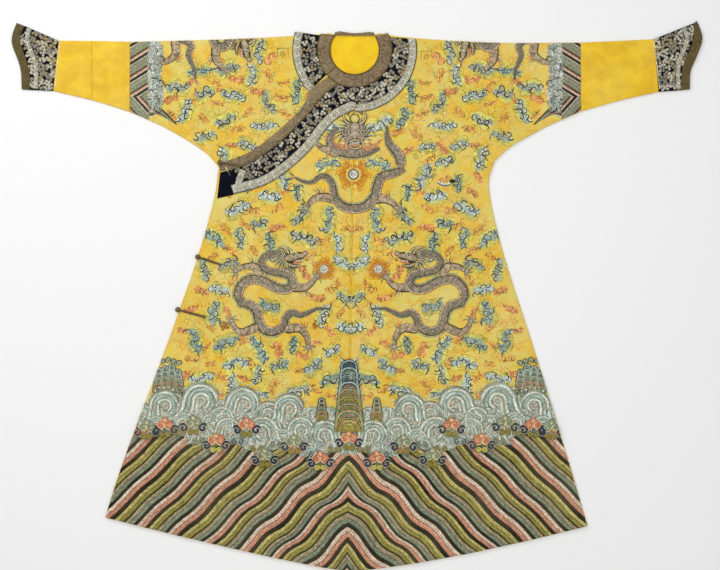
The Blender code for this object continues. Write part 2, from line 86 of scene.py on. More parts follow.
silks = {
    "gold": linear(226, 178, 38),
    "iceWhite": linear(232, 234, 220),
    "paleBlue": linear(176, 198, 192),
    "greyGreen": linear(150, 166, 146),
    "sage": linear(134, 148, 124),
    "teal": linear(66, 92, 98),
    "navy": linear(32, 40, 62),
    "ink": linear(28, 28, 26),
    "dark": linear(34, 34, 18),
    "coral": linear(210, 128, 98),
    "orange": linear(232, 140, 48),
    "rust": linear(196, 84, 34),
    "pink": linear(230, 184, 150),
    "cream": linear(244, 228, 168),
    "lime": linear(212, 204, 104),
    "olive": linear(152, 144, 66),
    "bronze": linear(112, 92, 40),
    "beige": linear(170, 156, 122),
    "taupe": linear(164, 146, 112),
    "mauve": linear(178, 156, 132),
    "silver": linear(200, 194, 174),
    "pewter": linear(142, 138, 124),
    "amber": linear(202, 134, 48),
    "russet": linear(186, 104, 52),
    "salmon": linear(232, 164, 104),
    "peach": linear(236, 184, 92),
    "blush": linear(236, 206, 182),
    "dustyCoral": linear(216, 152, 124),
    "paleOlive": linear(196, 184, 112),
}

# shader groups: each is built once and placed in the materials with their own values


def newGroup(name, inputs, outputs):
    tree = bpy.data.node_groups.new(name, "ShaderNodeTree")
    for label, kind, value in inputs:
        socket = tree.interface.new_socket(name=label, in_out="INPUT", socket_type=kind)
        if value is not None:
            socket.default_value = value
    for label, kind in outputs:
        tree.interface.new_socket(name=label, in_out="OUTPUT", socket_type=kind)
    return tree, tree.nodes.new("NodeGroupInput"), tree.nodes.new("NodeGroupOutput")


def mathNode(tree, operation, a, b=None):
    node = tree.nodes.new("ShaderNodeMath")
    node.operation = operation
    for slot, value in zip(node.inputs, (a, b)):
        if value is None:
            continue
        if hasattr(value, "default_value"):
            tree.links.new(value, slot)
        else:
            slot.default_value = value
    return node.outputs[0]


def mixColour(tree, factor, a, b, blend="MIX"):
    node = tree.nodes.new("ShaderNodeMix")
    node.data_type = "RGBA"
    node.blend_type = blend
    for slot, value in ((node.inputs[0], factor), (node.inputs[6], a), (node.inputs[7], b)):
        if hasattr(value, "default_value"):
            tree.links.new(value, slot)
        elif slot == node.inputs[0]:
            slot.default_value = value
        else:
            slot.default_value = (*value, 1)
    return node.outputs[2]


def noiseNode(tree, vector, scale, detail=2.0, roughness=0.5, distortion=0.0):
    node = tree.nodes.new("ShaderNodeTexNoise")
    tree.links.new(vector, node.inputs["Vector"])
    if hasattr(scale, "default_value"):
        tree.links.new(scale, node.inputs["Scale"])
    else:
        node.inputs["Scale"].default_value = scale
    node.inputs["Detail"].default_value = detail
    node.inputs["Roughness"].default_value = roughness
    node.inputs["Distortion"].default_value = distortion
    return node.outputs["Fac"]


def rangeNode(tree, value, low, high, toLow=0.0, toHigh=1.0):
    node = tree.nodes.new("ShaderNodeMapRange")
    node.interpolation_type = "SMOOTHSTEP"
    tree.links.new(value, node.inputs[0])
    for slot, number in zip(node.inputs[1:5], (low, high, toLow, toHigh)):
        slot.default_value = number
    return node.outputs[0]


def makeWeaveGroup():
    # warp and weft threads crossing, with slubs: a height for the bump and a tone for the colour
    tree, start, end = newGroup(
        "silkWeave",
        [("Place", "NodeSocketVector", None), ("Threads", "NodeSocketFloat", 900.0)],
        [("Height", "NodeSocketFloat"), ("Tone", "NodeSocketFloat")],
    )
    split = tree.nodes.new("ShaderNodeSeparateXYZ")
    tree.links.new(start.outputs["Place"], split.inputs[0])
    warp = mathNode(tree, "SINE", mathNode(tree, "MULTIPLY", split.outputs[0], start.outputs["Threads"]))
    weft = mathNode(tree, "SINE", mathNode(tree, "MULTIPLY", split.outputs[1], start.outputs["Threads"]))
    crossing = mathNode(tree, "MULTIPLY", warp, weft)
    stretch = tree.nodes.new("ShaderNodeVectorMath")
    stretch.operation = "MULTIPLY"
    stretch.inputs[1].default_value = (0.12, 1.0, 1.0)  # slubs run along the weft
    tree.links.new(start.outputs["Place"], stretch.inputs[0])
    slub = noiseNode(tree, stretch.outputs[0], 420.0, 3.0, 0.6)
    height = mathNode(tree, "ADD", mathNode(tree, "MULTIPLY", crossing, 0.25), slub)
    tree.links.new(height, end.inputs["Height"])
    tree.links.new(slub, end.inputs["Tone"])
    return tree


def makeAgeGroup():
    # a century of handling: broad faded and darkened clouds, and small soiled flecks
    tree, start, end = newGroup(
        "agedDye",
        [
            ("Place", "NodeSocketVector", None),
            ("Colour", "NodeSocketColor", (0.5, 0.5, 0.5, 1)),
            ("Fade", "NodeSocketFloat", 0.25),
            ("Soil", "NodeSocketFloat", 0.2),
        ],
        [("Colour", "NodeSocketColor")],
    )
    broad = rangeNode(tree, noiseNode(tree, start.outputs["Place"], 7.0, 4.0, 0.6, 0.4), 0.35, 0.7)
    fine = rangeNode(tree, noiseNode(tree, start.outputs["Place"], 60.0, 4.0, 0.65), 0.42, 0.72)
    fade = mathNode(tree, "MULTIPLY", broad, start.outputs["Fade"])
    faded = mixColour(tree, fade, start.outputs["Colour"], (0.86, 0.74, 0.36))
    soil = mathNode(tree, "MULTIPLY", fine, start.outputs["Soil"])
    soiled = mixColour(tree, soil, faded, (0.30, 0.19, 0.05))
    tree.links.new(soiled, end.inputs["Colour"])
    return tree


def makeStitchGroup():
    # floss lying across a worked band, with painted shade darkening the grooves between strands; the stitch
    # map holds metres along and across it
    tree, start, end = newGroup(
        "satinStitch",
        [
            ("Colour", "NodeSocketColor", (0.5, 0.5, 0.5, 1)),
            ("Floss", "NodeSocketFloat", 5200.0),
            ("Slant", "NodeSocketFloat", 0.35),
            ("Grooves", "NodeSocketFloat", 0.35),
        ],
        [("Colour", "NodeSocketColor"), ("Height", "NodeSocketFloat"), ("Roughness", "NodeSocketFloat")],
    )
    stitchMap = tree.nodes.new("ShaderNodeUVMap")
    stitchMap.uv_map = "stitch"
    split = tree.nodes.new("ShaderNodeSeparateXYZ")
    tree.links.new(stitchMap.outputs[0], split.inputs[0])
    lean = mathNode(tree, "MULTIPLY", split.outputs[1], start.outputs["Slant"])
    slanted = mathNode(tree, "ADD", split.outputs[0], lean)
    wave = mathNode(tree, "SINE", mathNode(tree, "MULTIPLY", slanted, start.outputs["Floss"]))
    wobble = noiseNode(tree, stitchMap.outputs[0], 900.0, 2.0, 0.6)
    height = mathNode(tree, "ADD", mathNode(tree, "MULTIPLY", wave, 0.4), wobble)
    # painted shade: the colour is darkened in the grooves between strands, Grooves setting how much
    groove = rangeNode(tree, height, 0.2, 0.75, 1.0, 0.0)
    shade = mathNode(tree, "MULTIPLY", groove, start.outputs["Grooves"])
    grooveShadeColour = mixColour(tree, 1.0, start.outputs["Colour"], (0.45, 0.42, 0.38), "MULTIPLY")
    tree.links.new(mixColour(tree, shade, start.outputs["Colour"], grooveShadeColour), end.inputs["Colour"])
    tree.links.new(height, end.inputs["Height"])
    tree.links.new(rangeNode(tree, wobble, 0.3, 0.7, 0.42, 0.62), end.inputs["Roughness"])
    return tree


silkWeave = makeWeaveGroup()
agedDye = makeAgeGroup()
satinStitch = makeStitchGroup()


def useGroup(tree, group, **values):
    node = tree.nodes.new("ShaderNodeGroup")
    node.node_tree = group
    for label, value in values.items():
        if hasattr(value, "default_value"):
            tree.links.new(value, node.inputs[label])
        elif isinstance(value, tuple):
            node.inputs[label].default_value = (*value, 1)
        else:
            node.inputs[label].default_value = value
    return node.outputs


def startMaterial(name, roughness, sheen=0.0, sheenTint=(1, 1, 1), specular=0.3):
    material = bpy.data.materials.new(name)
    material.use_nodes = True
    tree = material.node_tree
    shader = tree.nodes["Principled BSDF"]
    shader.inputs["Roughness"].default_value = roughness
    shader.inputs["Sheen Weight"].default_value = sheen
    shader.inputs["Sheen Roughness"].default_value = 0.45
    shader.inputs["Sheen Tint"].default_value = (*sheenTint, 1)
    shader.inputs["Specular IOR Level"].default_value = specular
    place = tree.nodes.new("ShaderNodeTexCoord").outputs["Object"]
    return material, tree, shader, place


def addBump(tree, shader, height, strength, distance):
    bump = tree.nodes.new("ShaderNodeBump")
    bump.inputs["Strength"].default_value = strength
    bump.inputs["Distance"].default_value = distance
    tree.links.new(height, bump.inputs["Height"])
    tree.links.new(bump.outputs[0], shader.inputs["Normal"])


def plainCloth(name, dye, deepDye, fade, soil, roughness=0.5, sheen=0.25, mottle=26.0, specular=0.3):
    material, tree, shader, place = startMaterial(name, roughness, sheen, (1.0, 0.95, 0.8), specular)
    mottling = rangeNode(tree, noiseNode(tree, place, mottle, 5.0, 0.6, 0.3), 0.3, 0.7)
    colour = mixColour(tree, mottling, dye, deepDye)
    weave = useGroup(tree, silkWeave, Place=place)
    threads = mixColour(tree, rangeNode(tree, weave["Tone"], 0.35, 0.7, 0.0, 0.3), colour, deepDye)
    aged = useGroup(tree, agedDye, Place=place, Colour=threads, Fade=fade, Soil=soil)
    tree.links.new(aged["Colour"], shader.inputs["Base Color"])
    addBump(tree, shader, weave["Height"], 0.35, 0.0004)
    return material


def makeFiguredSilk():
    # the yellow ground under the embroidery: fine curling outlines woven all over it
    material, tree, shader, place = startMaterial("figuredSilk", 0.5, 0.2, (1.0, 0.92, 0.7))
    golden, deep = linear(238, 196, 44), linear(226, 174, 30)
    pale, lemon = linear(222, 208, 100), linear(220, 204, 92)
    mottling = rangeNode(tree, noiseNode(tree, place, 24.0, 4.0, 0.6, 0.6), 0.32, 0.68)
    colour = mixColour(tree, mottling, golden, deep)
    drifts = rangeNode(tree, noiseNode(tree, place, 13.0, 3.0, 0.55, 0.8), 0.46, 0.62, 0.0, 0.85)
    colour = mixColour(tree, drifts, colour, lemon)
    scrolls = rangeNode(tree, noiseNode(tree, place, 46.0, 5.0, 0.62, 2.2), 0.48, 0.60, 0.0, 0.7)
    colour = mixColour(tree, scrolls, colour, pale)
    # thin brown curling lines, where a second noise passes its middle value
    level = mathNode(tree, "SUBTRACT", noiseNode(tree, place, 70.0, 2.0, 0.5, 1.6), 0.5)
    lines = rangeNode(tree, mathNode(tree, "ABSOLUTE", level), 0.004, 0.018, 0.26, 0.0)
    colour = mixColour(tree, lines, colour, linear(176, 122, 40))
    weave = useGroup(tree, silkWeave, Place=place)
    aged = useGroup(tree, agedDye, Place=place, Colour=colour, Fade=0.25, Soil=0.12)
    tree.links.new(aged["Colour"], shader.inputs["Base Color"])
    addBump(tree, shader, weave["Height"], 0.3, 0.0004)
    return material


def makeFloss(name, floss, slant, grooveShade, bumpDistance):
    # its roughness and colour both come from the stitches, the colour with painted shade in the stitch
    # grooves
    material, tree, shader, place = startMaterial(name, 0.5, 0.06, specular=0.14)
    dye = tree.nodes.new("ShaderNodeVertexColor")
    dye.layer_name = "dye"
    stitch = useGroup(tree, satinStitch, Colour=dye.outputs[0], Floss=floss, Slant=slant, Grooves=grooveShade)
    speckle = rangeNode(tree, noiseNode(tree, place, 380.0, 3.0, 0.7), 0.34, 0.66, 0.48, 1.50)
    couched = mixColour(tree, 1.0, stitch["Colour"], speckle, "MULTIPLY")
    aged = useGroup(tree, agedDye, Place=place, Colour=couched, Fade=0.06, Soil=0.08)
    tree.links.new(aged["Colour"], shader.inputs["Base Color"])
    tree.links.new(stitch["Roughness"], shader.inputs["Roughness"])
    addBump(tree, shader, stitch["Height"], 0.5, bumpDistance)
    return material


materials = {
    "figuredSilk": makeFiguredSilk(),
    "plainSilk": plainCloth("plainSilk", linear(246, 206, 36), linear(226, 180, 20), 0.10, 0.05, 0.5, 0.1),
    "liningSilk": plainCloth("liningSilk", linear(248, 210, 6), linear(236, 190, 4), 0.0, 0.0, 0.5, 0.05),
    "navySatin": plainCloth(
        "navySatin", linear(17, 20, 36), linear(9, 10, 22), 0.0, 0.0, 0.6, 0.0, 26.0, 0.04
    ),
    "brownBrocade": plainCloth(
        "brownBrocade", linear(154, 134, 104), linear(76, 58, 34), 0.1, 0.3, 0.55, 0.1, 200.0
    ),
    "cuffBrocade": plainCloth(
        "cuffBrocade", linear(116, 104, 66), linear(64, 54, 30), 0.0, 0.2, 0.6, 0.0, 240.0, 0.1
    ),
    "brownCord": plainCloth(
        "brownCord", linear(104, 82, 48), linear(70, 52, 28), 0.1, 0.3, 0.6, 0.2, 300.0
    ),
    "floss": makeFloss("floss", 5200.0, 0.35, 0.25, 0.0004),
    "stripeCord": makeFloss("stripeCord", 1700.0, 1.1, 0.55, 0.0010),
}

print(len(materials), "materials made")

# creases are shared by every layer, so that each lies on the one below
# each crease: from (x, y) to (x, y), its bow sideways, its height (a trough is below 0) and its width
creases = [
    # right sleeve, fanning out from the underarm
    (-0.395, 0.385, -0.300, 0.600, 0.012, 0.0022, 0.016),
    (-0.430, 0.410, -0.420, 0.640, -0.010, 0.0018, 0.014),
    (-0.375, 0.370, -0.180, 0.500, 0.015, 0.0016, 0.018),
    (-0.500, 0.455, -0.540, 0.660, 0.008, 0.0014, 0.013),
    (-0.460, 0.470, -0.600, 0.560, -0.006, -0.0010, 0.012),
    # left sleeve
    (0.385, 0.380, 0.300, 0.610, -0.012, 0.0022, 0.016),
    (0.420, 0.410, 0.430, 0.640, 0.010, 0.0018, 0.014),
    (0.365, 0.350, 0.190, 0.470, -0.015, 0.0018, 0.020),
    (0.495, 0.455, 0.530, 0.655, -0.008, 0.0014, 0.013),
    (0.450, 0.470, 0.590, 0.570, 0.006, -0.0010, 0.012),
    # plain sleeve ends, long soft wrinkles towards the cuffs
    (-0.630, 0.640, -0.800, 0.655, 0.004, 0.0012, 0.010),
    (-0.640, 0.560, -0.800, 0.590, -0.006, 0.0016, 0.013),
    (-0.650, 0.600, -0.720, 0.612, 0.003, -0.0009, 0.009),
    (0.630, 0.636, 0.800, 0.650, -0.004, 0.0013, 0.011),
    (0.640, 0.556, 0.800, 0.588, 0.006, 0.0016, 0.013),
    (0.700, 0.600, 0.790, 0.612, 0.003, -0.0009, 0.009),
    # the skirt, long shallow falls towards the hem
    (-0.330, 0.230, -0.420, -0.300, 0.020, 0.0016, 0.028),
    (-0.420, -0.100, -0.540, -0.560, 0.015, 0.0018, 0.026),
    (-0.200, 0.020, -0.240, -0.480, -0.012, 0.0013, 0.030),
    (0.320, 0.200, 0.390, -0.280, -0.020, 0.0016, 0.028),
    (0.400, -0.120, 0.500, -0.560, -0.015, 0.0018, 0.026),
    (0.180, 0.000, 0.200, -0.500, 0.012, 0.0012, 0.030),
    (-0.080, -0.300, -0.100, -0.640, 0.006, 0.0010, 0.024),
    (0.060, -0.260, 0.070, -0.620, -0.006, 0.0010, 0.024),
    # across the chest, where the overlap pulls to its loops
    (-0.300, 0.280, -0.060, 0.220, -0.010, 0.0012, 0.022),
    (0.100, 0.380, 0.330, 0.300, 0.012, 0.0012, 0.022),
    (-0.330, 0.120, -0.150, 0.070, 0.008, 0.0010, 0.020),
]


def creaseHeight(x, y):
    total = 0.0006 * (np.sin(x * 47 + 2 * np.sin(y * 13)) + np.sin(y * 39 - 1.5 * np.sin(x * 17)))
    for x0, y0, x1, y1, bow, height, width in creases:
        dx, dy = x1 - x0, y1 - y0
        length = math.hypot(dx, dy)
        along = ((x - x0) * dx + (y - y0) * dy) / length**2
        inside = np.clip(along, 0, 1)
        across = ((y - y0) * dx - (x - x0) * dy) / length - bow * np.sin(math.pi * inside)
        beyond = (along - inside) * length
        taper = np.sin(math.pi * np.clip(inside * 0.9 + 0.05, 0, 1)) ** 0.7
        total = total + height * taper * np.exp(-((across / width) ** 2) - (beyond / width) ** 2)
    return total


# cloth shells on the frame's solids


def weldedCopy(node):
    bm = bmesh.new()
    bm.from_mesh(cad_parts[node].data)
    bmesh.ops.remove_doubles(bm, verts=bm.verts, dist=2e-5)
    bm.normal_update()
    return bm


def outerFaces(bm, tree, up):
    # faces that see the sky, or the table
    sign = 1 if up else -1
    found = []
    for face in bm.faces:
        if face.normal.z * sign < 0.04:
            continue
        start = face.calc_center_median() + Vector((0, 0, sign * 2e-5))
        if tree.ray_cast(start, Vector((0, 0, sign)))[0] is None:
            found.append(face)
    return found


def outlineOf(faces):
    # the longest loop of edges that only one of these faces uses, in the faces' own winding
    chosen = set(faces)
    follow = {}
    for face in faces:
        for loop in face.loops:
            if sum(f in chosen for f in loop.edge.link_faces) == 1:
                follow.setdefault(loop.vert, []).append(loop.link_loop_next.vert)
    loops = []
    while follow:
        first = next(iter(follow))
        line, at = [], first
        while at in follow:
            line.append(at)
            nextVert = follow[at].pop()
            if not follow[at]:
                del follow[at]
            at = nextVert
        loops.append(line)
    longest = max(loops, key=lambda line: sum((a.co - b.co).length for a, b in zip(line, line[1:])))
    return [v.co.copy() for v in longest]


def roundedOutline(line, step, cornerAngle=0.5):
    # a smooth line through the outline's points that keeps its corners
    kept = [p for p, q in zip(line, line[1:] + line[:1]) if (p - q).length > 2e-4]
    count = len(kept)
    sides = [(kept[(i + 1) % count] - kept[i]) for i in range(count)]

    def slope(i):
        before, after = sides[i - 1], sides[i]
        if before.angle(after, 0) > cornerAngle:
            return None
        a, b = before.length, after.length
        return (before / a * b + after / b * a) / (a + b)

    slopes = [slope(i) for i in range(count)]
    made = []
    for i in range(count):
        side = sides[i]
        length = side.length
        leave = slopes[i] if slopes[i] is not None else side / length
        arrive = slopes[(i + 1) % count] if slopes[(i + 1) % count] is not None else side / length
        steps = max(1, round(length / step))
        for k in range(steps):
            t = k / steps
            h1, h2, h3 = 2 * t**3 - 3 * t**2 + 1, t**3 - 2 * t**2 + t, t**3 - t**2
            made.append(
                kept[i] * h1 + kept[(i + 1) % count] * (1 - h1) + (leave * h2 + arrive * h3) * length
            )
            made[-1].z = kept[i].z * (1 - t) + kept[(i + 1) % count].z * t
    return made


def insidePolygon(x, y, polygon):
    inside = np.zeros(x.shape, bool)
    px, py = polygon[:, 0], polygon[:, 1]
    qx, qy = np.roll(px, -1), np.roll(py, -1)
    for ax, ay, bx, by in zip(px, py, qx, qy):
        if ay == by:
            continue
        crosses = (ay > y) != (by > y)
        inside ^= crosses & (x < (bx - ax) * (y - ay) / (by - ay) + ax)
    return inside


def edgeDistance(x, y, polygon):
    best = np.full(x.shape, 1e9)
    for (ax, ay), (bx, by) in zip(polygon, np.roll(polygon, -1, axis=0)):
        dx, dy = bx - ax, by - ay
        t = np.clip(((x - ax) * dx + (y - ay) * dy) / max(dx * dx + dy * dy, 1e-12), 0, 1)
        best = np.minimum(best, np.hypot(x - ax - t * dx, y - ay - t * dy))
    return best


def gridInside(polygon, spacing, margin):
    low, high = polygon.min(0), polygon.max(0)
    rows = np.arange(low[1], high[1], spacing * 0.866)
    columns = np.arange(low[0], high[0], spacing)
    x = np.concatenate([columns + (i % 2) * spacing / 2 for i in range(len(rows))])
    y = np.repeat(rows, len(columns))
    keep = insidePolygon(x, y, polygon)
    x, y = x[keep], y[keep]
    keep = edgeDistance(x, y, polygon) > margin
    return x[keep], y[keep]


def signedArea(flat):
    # above 0 where the outline winds anticlockwise
    following = np.roll(flat, -1, axis=0)
    return 0.5 * np.sum(flat[:, 0] * following[:, 1] - following[:, 0] * flat[:, 1])


def triangulate(flat, x, y):
    # x and y begin with the outline's own points
    order = list(range(len(flat)))
    if signedArea(flat) < 0:
        order.reverse()
    return delaunay_2d_cdt([Vector((a, b)) for a, b in zip(x, y)], [], [order], 1, 1e-7)


def layFace(bm, outline, spacing, tree, up, ringInsets):
    # one side of a shell: its outline, rings just inside it that round the fold, and an even grid
    flat = np.array([(p.x, p.y) for p in outline])
    xs, ys = [flat[:, 0]], [flat[:, 1]]
    turn = np.roll(flat, -1, axis=0) - np.roll(flat, 1, axis=0)
    normal = np.stack([-turn[:, 1], turn[:, 0]], 1) / np.maximum(np.hypot(*turn.T), 1e-9)[:, None]
    for inset in ringInsets:
        ring = flat + normal * inset * math.copysign(1, signedArea(flat))
        keep = insidePolygon(ring[:, 0], ring[:, 1], flat)
        keep &= edgeDistance(ring[:, 0], ring[:, 1], flat) > inset * 0.8
        xs.append(ring[keep, 0])
        ys.append(ring[keep, 1])
    gx, gy = gridInside(flat, spacing, max(ringInsets, default=0) + spacing * 0.5)
    found = triangulate(flat, np.concatenate([*xs, gx]), np.concatenate([*ys, gy]))
    sign = 1 if up else -1
    verts = []
    for place, origin in zip(found[0], found[3]):
        if origin and origin[0] < len(flat):
            z = outline[origin[0]].z
        else:
            hit = tree.ray_cast(Vector((place.x, place.y, sign * 0.2)), Vector((0, 0, -sign)))[0]
            z = hit.z if hit else outline[0].z
        verts.append(bm.verts.new((place.x, place.y, z)))
    for face in found[2]:
        corners = [verts[i] for i in face]
        try:
            bm.faces.new(corners if up else corners[::-1])
        except ValueError:
            continue


def linkObject(name, data):
    obj = bpy.data.objects.new(name, data)
    bpy.context.scene.collection.objects.link(obj)
    return obj


def addObject(name, mesh, material):
    obj = linkObject(name, mesh)
    mesh.materials.append(material)
    for polygon in mesh.polygons:
        polygon.use_smooth = True
    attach(obj, "root")
    return obj


shells = {}
# spacing of the cloth's points on top, underneath and along an outline, and its walls, in metres
shellSpacing = {
    "field": 0.010,
    "sleeve": 0.008,
    "trim": 0.007,
    "under": 0.022,
    "underCuff": 0.015,
    "underBinding": 0.012,
    "outline": 0.009,
    "foldRings": (0.0008, 0.0022),   # rows just inside a folded edge, which round it
}
clothWall = {"silk": 0.0012, "trim": 0.0010}


def clothShell(node, material, spacing, wall=clothWall["silk"], underSpacing=None):
    # underSpacing is given for folded cloth and tubes, whose other side lies below
    bm = weldedCopy(node)
    tree = BVHTree.FromBMesh(bm)
    sides = [(True, spacing)] + ([(False, underSpacing)] if underSpacing else [])
    made = bmesh.new()
    for up, gap in sides:
        outline = roundedOutline(outlineOf(outerFaces(bm, tree, up)), shellSpacing["outline"])
        layFace(made, outline, gap, tree, up, shellSpacing["foldRings"] if underSpacing else ())
    if underSpacing:
        bmesh.ops.remove_doubles(made, verts=made.verts, dist=2e-5)
    co = np.array([v.co for v in made.verts])
    lift = creaseHeight(co[:, 0], co[:, 1])
    # a folded cloth's lower side stays flat on the table
    share = np.clip((co[:, 2] - 0.0022) / 0.0014, 0, 1) if underSpacing else 1.0
    for vert, dz in zip(made.verts, lift * share):
        vert.co.z += dz
    mesh = bpy.data.meshes.new(node)
    made.normal_update()
    made.to_mesh(mesh)
    made.free()
    bm.free()
    obj = addObject(node + "_cloth", mesh, material)
    thickness = obj.modifiers.new("wall", "SOLIDIFY")
    thickness.thickness = wall
    thickness.offset = -1
    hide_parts(node)
    shells[node] = obj


facings = ("right_collar_facing", "left_collar_facing", "overlap_facing", "underarm_facing")
bindings = ("right_neck_binding", "left_neck_binding", "overlap_binding", "back_neck_binding")
field, sleeve, trim = (shellSpacing[kind] for kind in ("field", "sleeve", "trim"))
folded = (
    ("half", "figuredSilk", "figured_silk", field, "under"),
    ("sleeve_extension", "plainSilk", "plain_silk", sleeve, "under"),
    ("hoof_cuff", "navySatin", "navy_satin", trim, "underCuff"),
    ("cuff_binding", "cuffBrocade", "brown_brocade", trim, "underBinding"),
)
for side in ("right", "left"):
    for part, cloth, slot, spacing, under in folded:
        clothShell(f"{side}_{part}", materials[cloth], spacing, underSpacing=shellSpacing[under])
clothShell("overlap", materials["figuredSilk"], field)
clothShell("back_neck_lining", materials["liningSilk"], trim, clothWall["trim"])
for node in facings:
    clothShell(node, materials["navySatin"], trim, clothWall["trim"])
for node in bindings:
    clothShell(node, materials["brownBrocade"], trim)
print("cloth shells laid")

# needlework is gathered band by band, then sewn to the cloth below it


def groundOf(nodes):
    # the upper cloth that a piece of needlework is sewn to
    points, faces = [], []
    for node in nodes:
        mesh = shells[node].data
        start = len(points)
        points.extend(v.co.copy() for v in mesh.vertices)
        faces.extend([start + i for i in p.vertices] for p in mesh.polygons if p.normal.z > 0)
    return BVHTree.FromPolygons(points, faces)


fieldGround = groundOf(["right_half", "left_half", "overlap"])
trimGround = groundOf(facings)
cuffGround = groundOf(["right_hoof_cuff", "left_hoof_cuff"])
down = Vector((0, 0, -1))
above = 0.1                          # where a look down at the cloth starts


def clothUnder(ground, x, y, probes):
    # whether cloth lies under every one of these points round x and y
    hits = [ground.ray_cast(Vector((x + dx, y + dy, above)), down)[0] for dx, dy in probes]
    return None not in hits


def fromSeam(side, s, y):
    # the place s away from the centre seam; side is -1 for the wearer's right and 1 for the left
    return float(centreX(y)) + side * s, y


def distances(line):
    # how far along the line each of its points lies
    return np.concatenate([[0], np.cumsum(np.hypot(*np.diff(line, axis=0).T))])


def directions(line):
    # at each point, the way along the line and the way to the left of it
    ahead = np.gradient(line, axis=0)
    ahead /= np.maximum(np.hypot(*ahead.T), 1e-9)[:, None]
    return ahead, np.stack([-ahead[:, 1], ahead[:, 0]], 1)


def flow(knots, step=0.004, closed=False):
    # an even line of points through the knots, rounded
    knots = np.asarray(knots, float)
    if len(knots) == 2:
        dense = knots
    else:
        if closed:
            padded = np.vstack([knots[-1], knots, knots[0], knots[1]])
        else:
            padded = np.vstack([2 * knots[0] - knots[1], knots, 2 * knots[-1] - knots[-2]])
        pieces = []
        t = np.linspace(0, 1, 12, endpoint=False)[:, None]
        for a, b, c, d in zip(padded, padded[1:], padded[2:], padded[3:]):
            square, cube = 2 * a - 5 * b + 4 * c - d, 3 * b - a - 3 * c + d
            pieces.append(0.5 * (2 * b + (c - a) * t + square * t**2 + cube * t**3))
        pieces.append(padded[-2:-1])
        dense = np.vstack(pieces)
    along = distances(dense)
    count = max(2, int(round(along[-1] / step)) + 1)
    at = np.linspace(0, along[-1], count)
    return np.stack([np.interp(at, along, dense[:, 0]), np.interp(at, along, dense[:, 1])], 1)


def spiral(centre, radius, start, turns, inner=0.25, count=None):
    # winds inward from its start angle in degrees, and clockwise where turns is below 0
    count = count or max(6, int(abs(turns) * 12))
    t = np.linspace(0, 1, count)
    angle = math.radians(start) + t * turns * 2 * math.pi
    r = radius * (1 - (1 - inner) * t)
    return np.stack([centre[0] + r * np.cos(angle), centre[1] + r * np.sin(angle)], 1)


def dyeOf(value):
    return np.array(silks[value] if isinstance(value, str) else value, float)


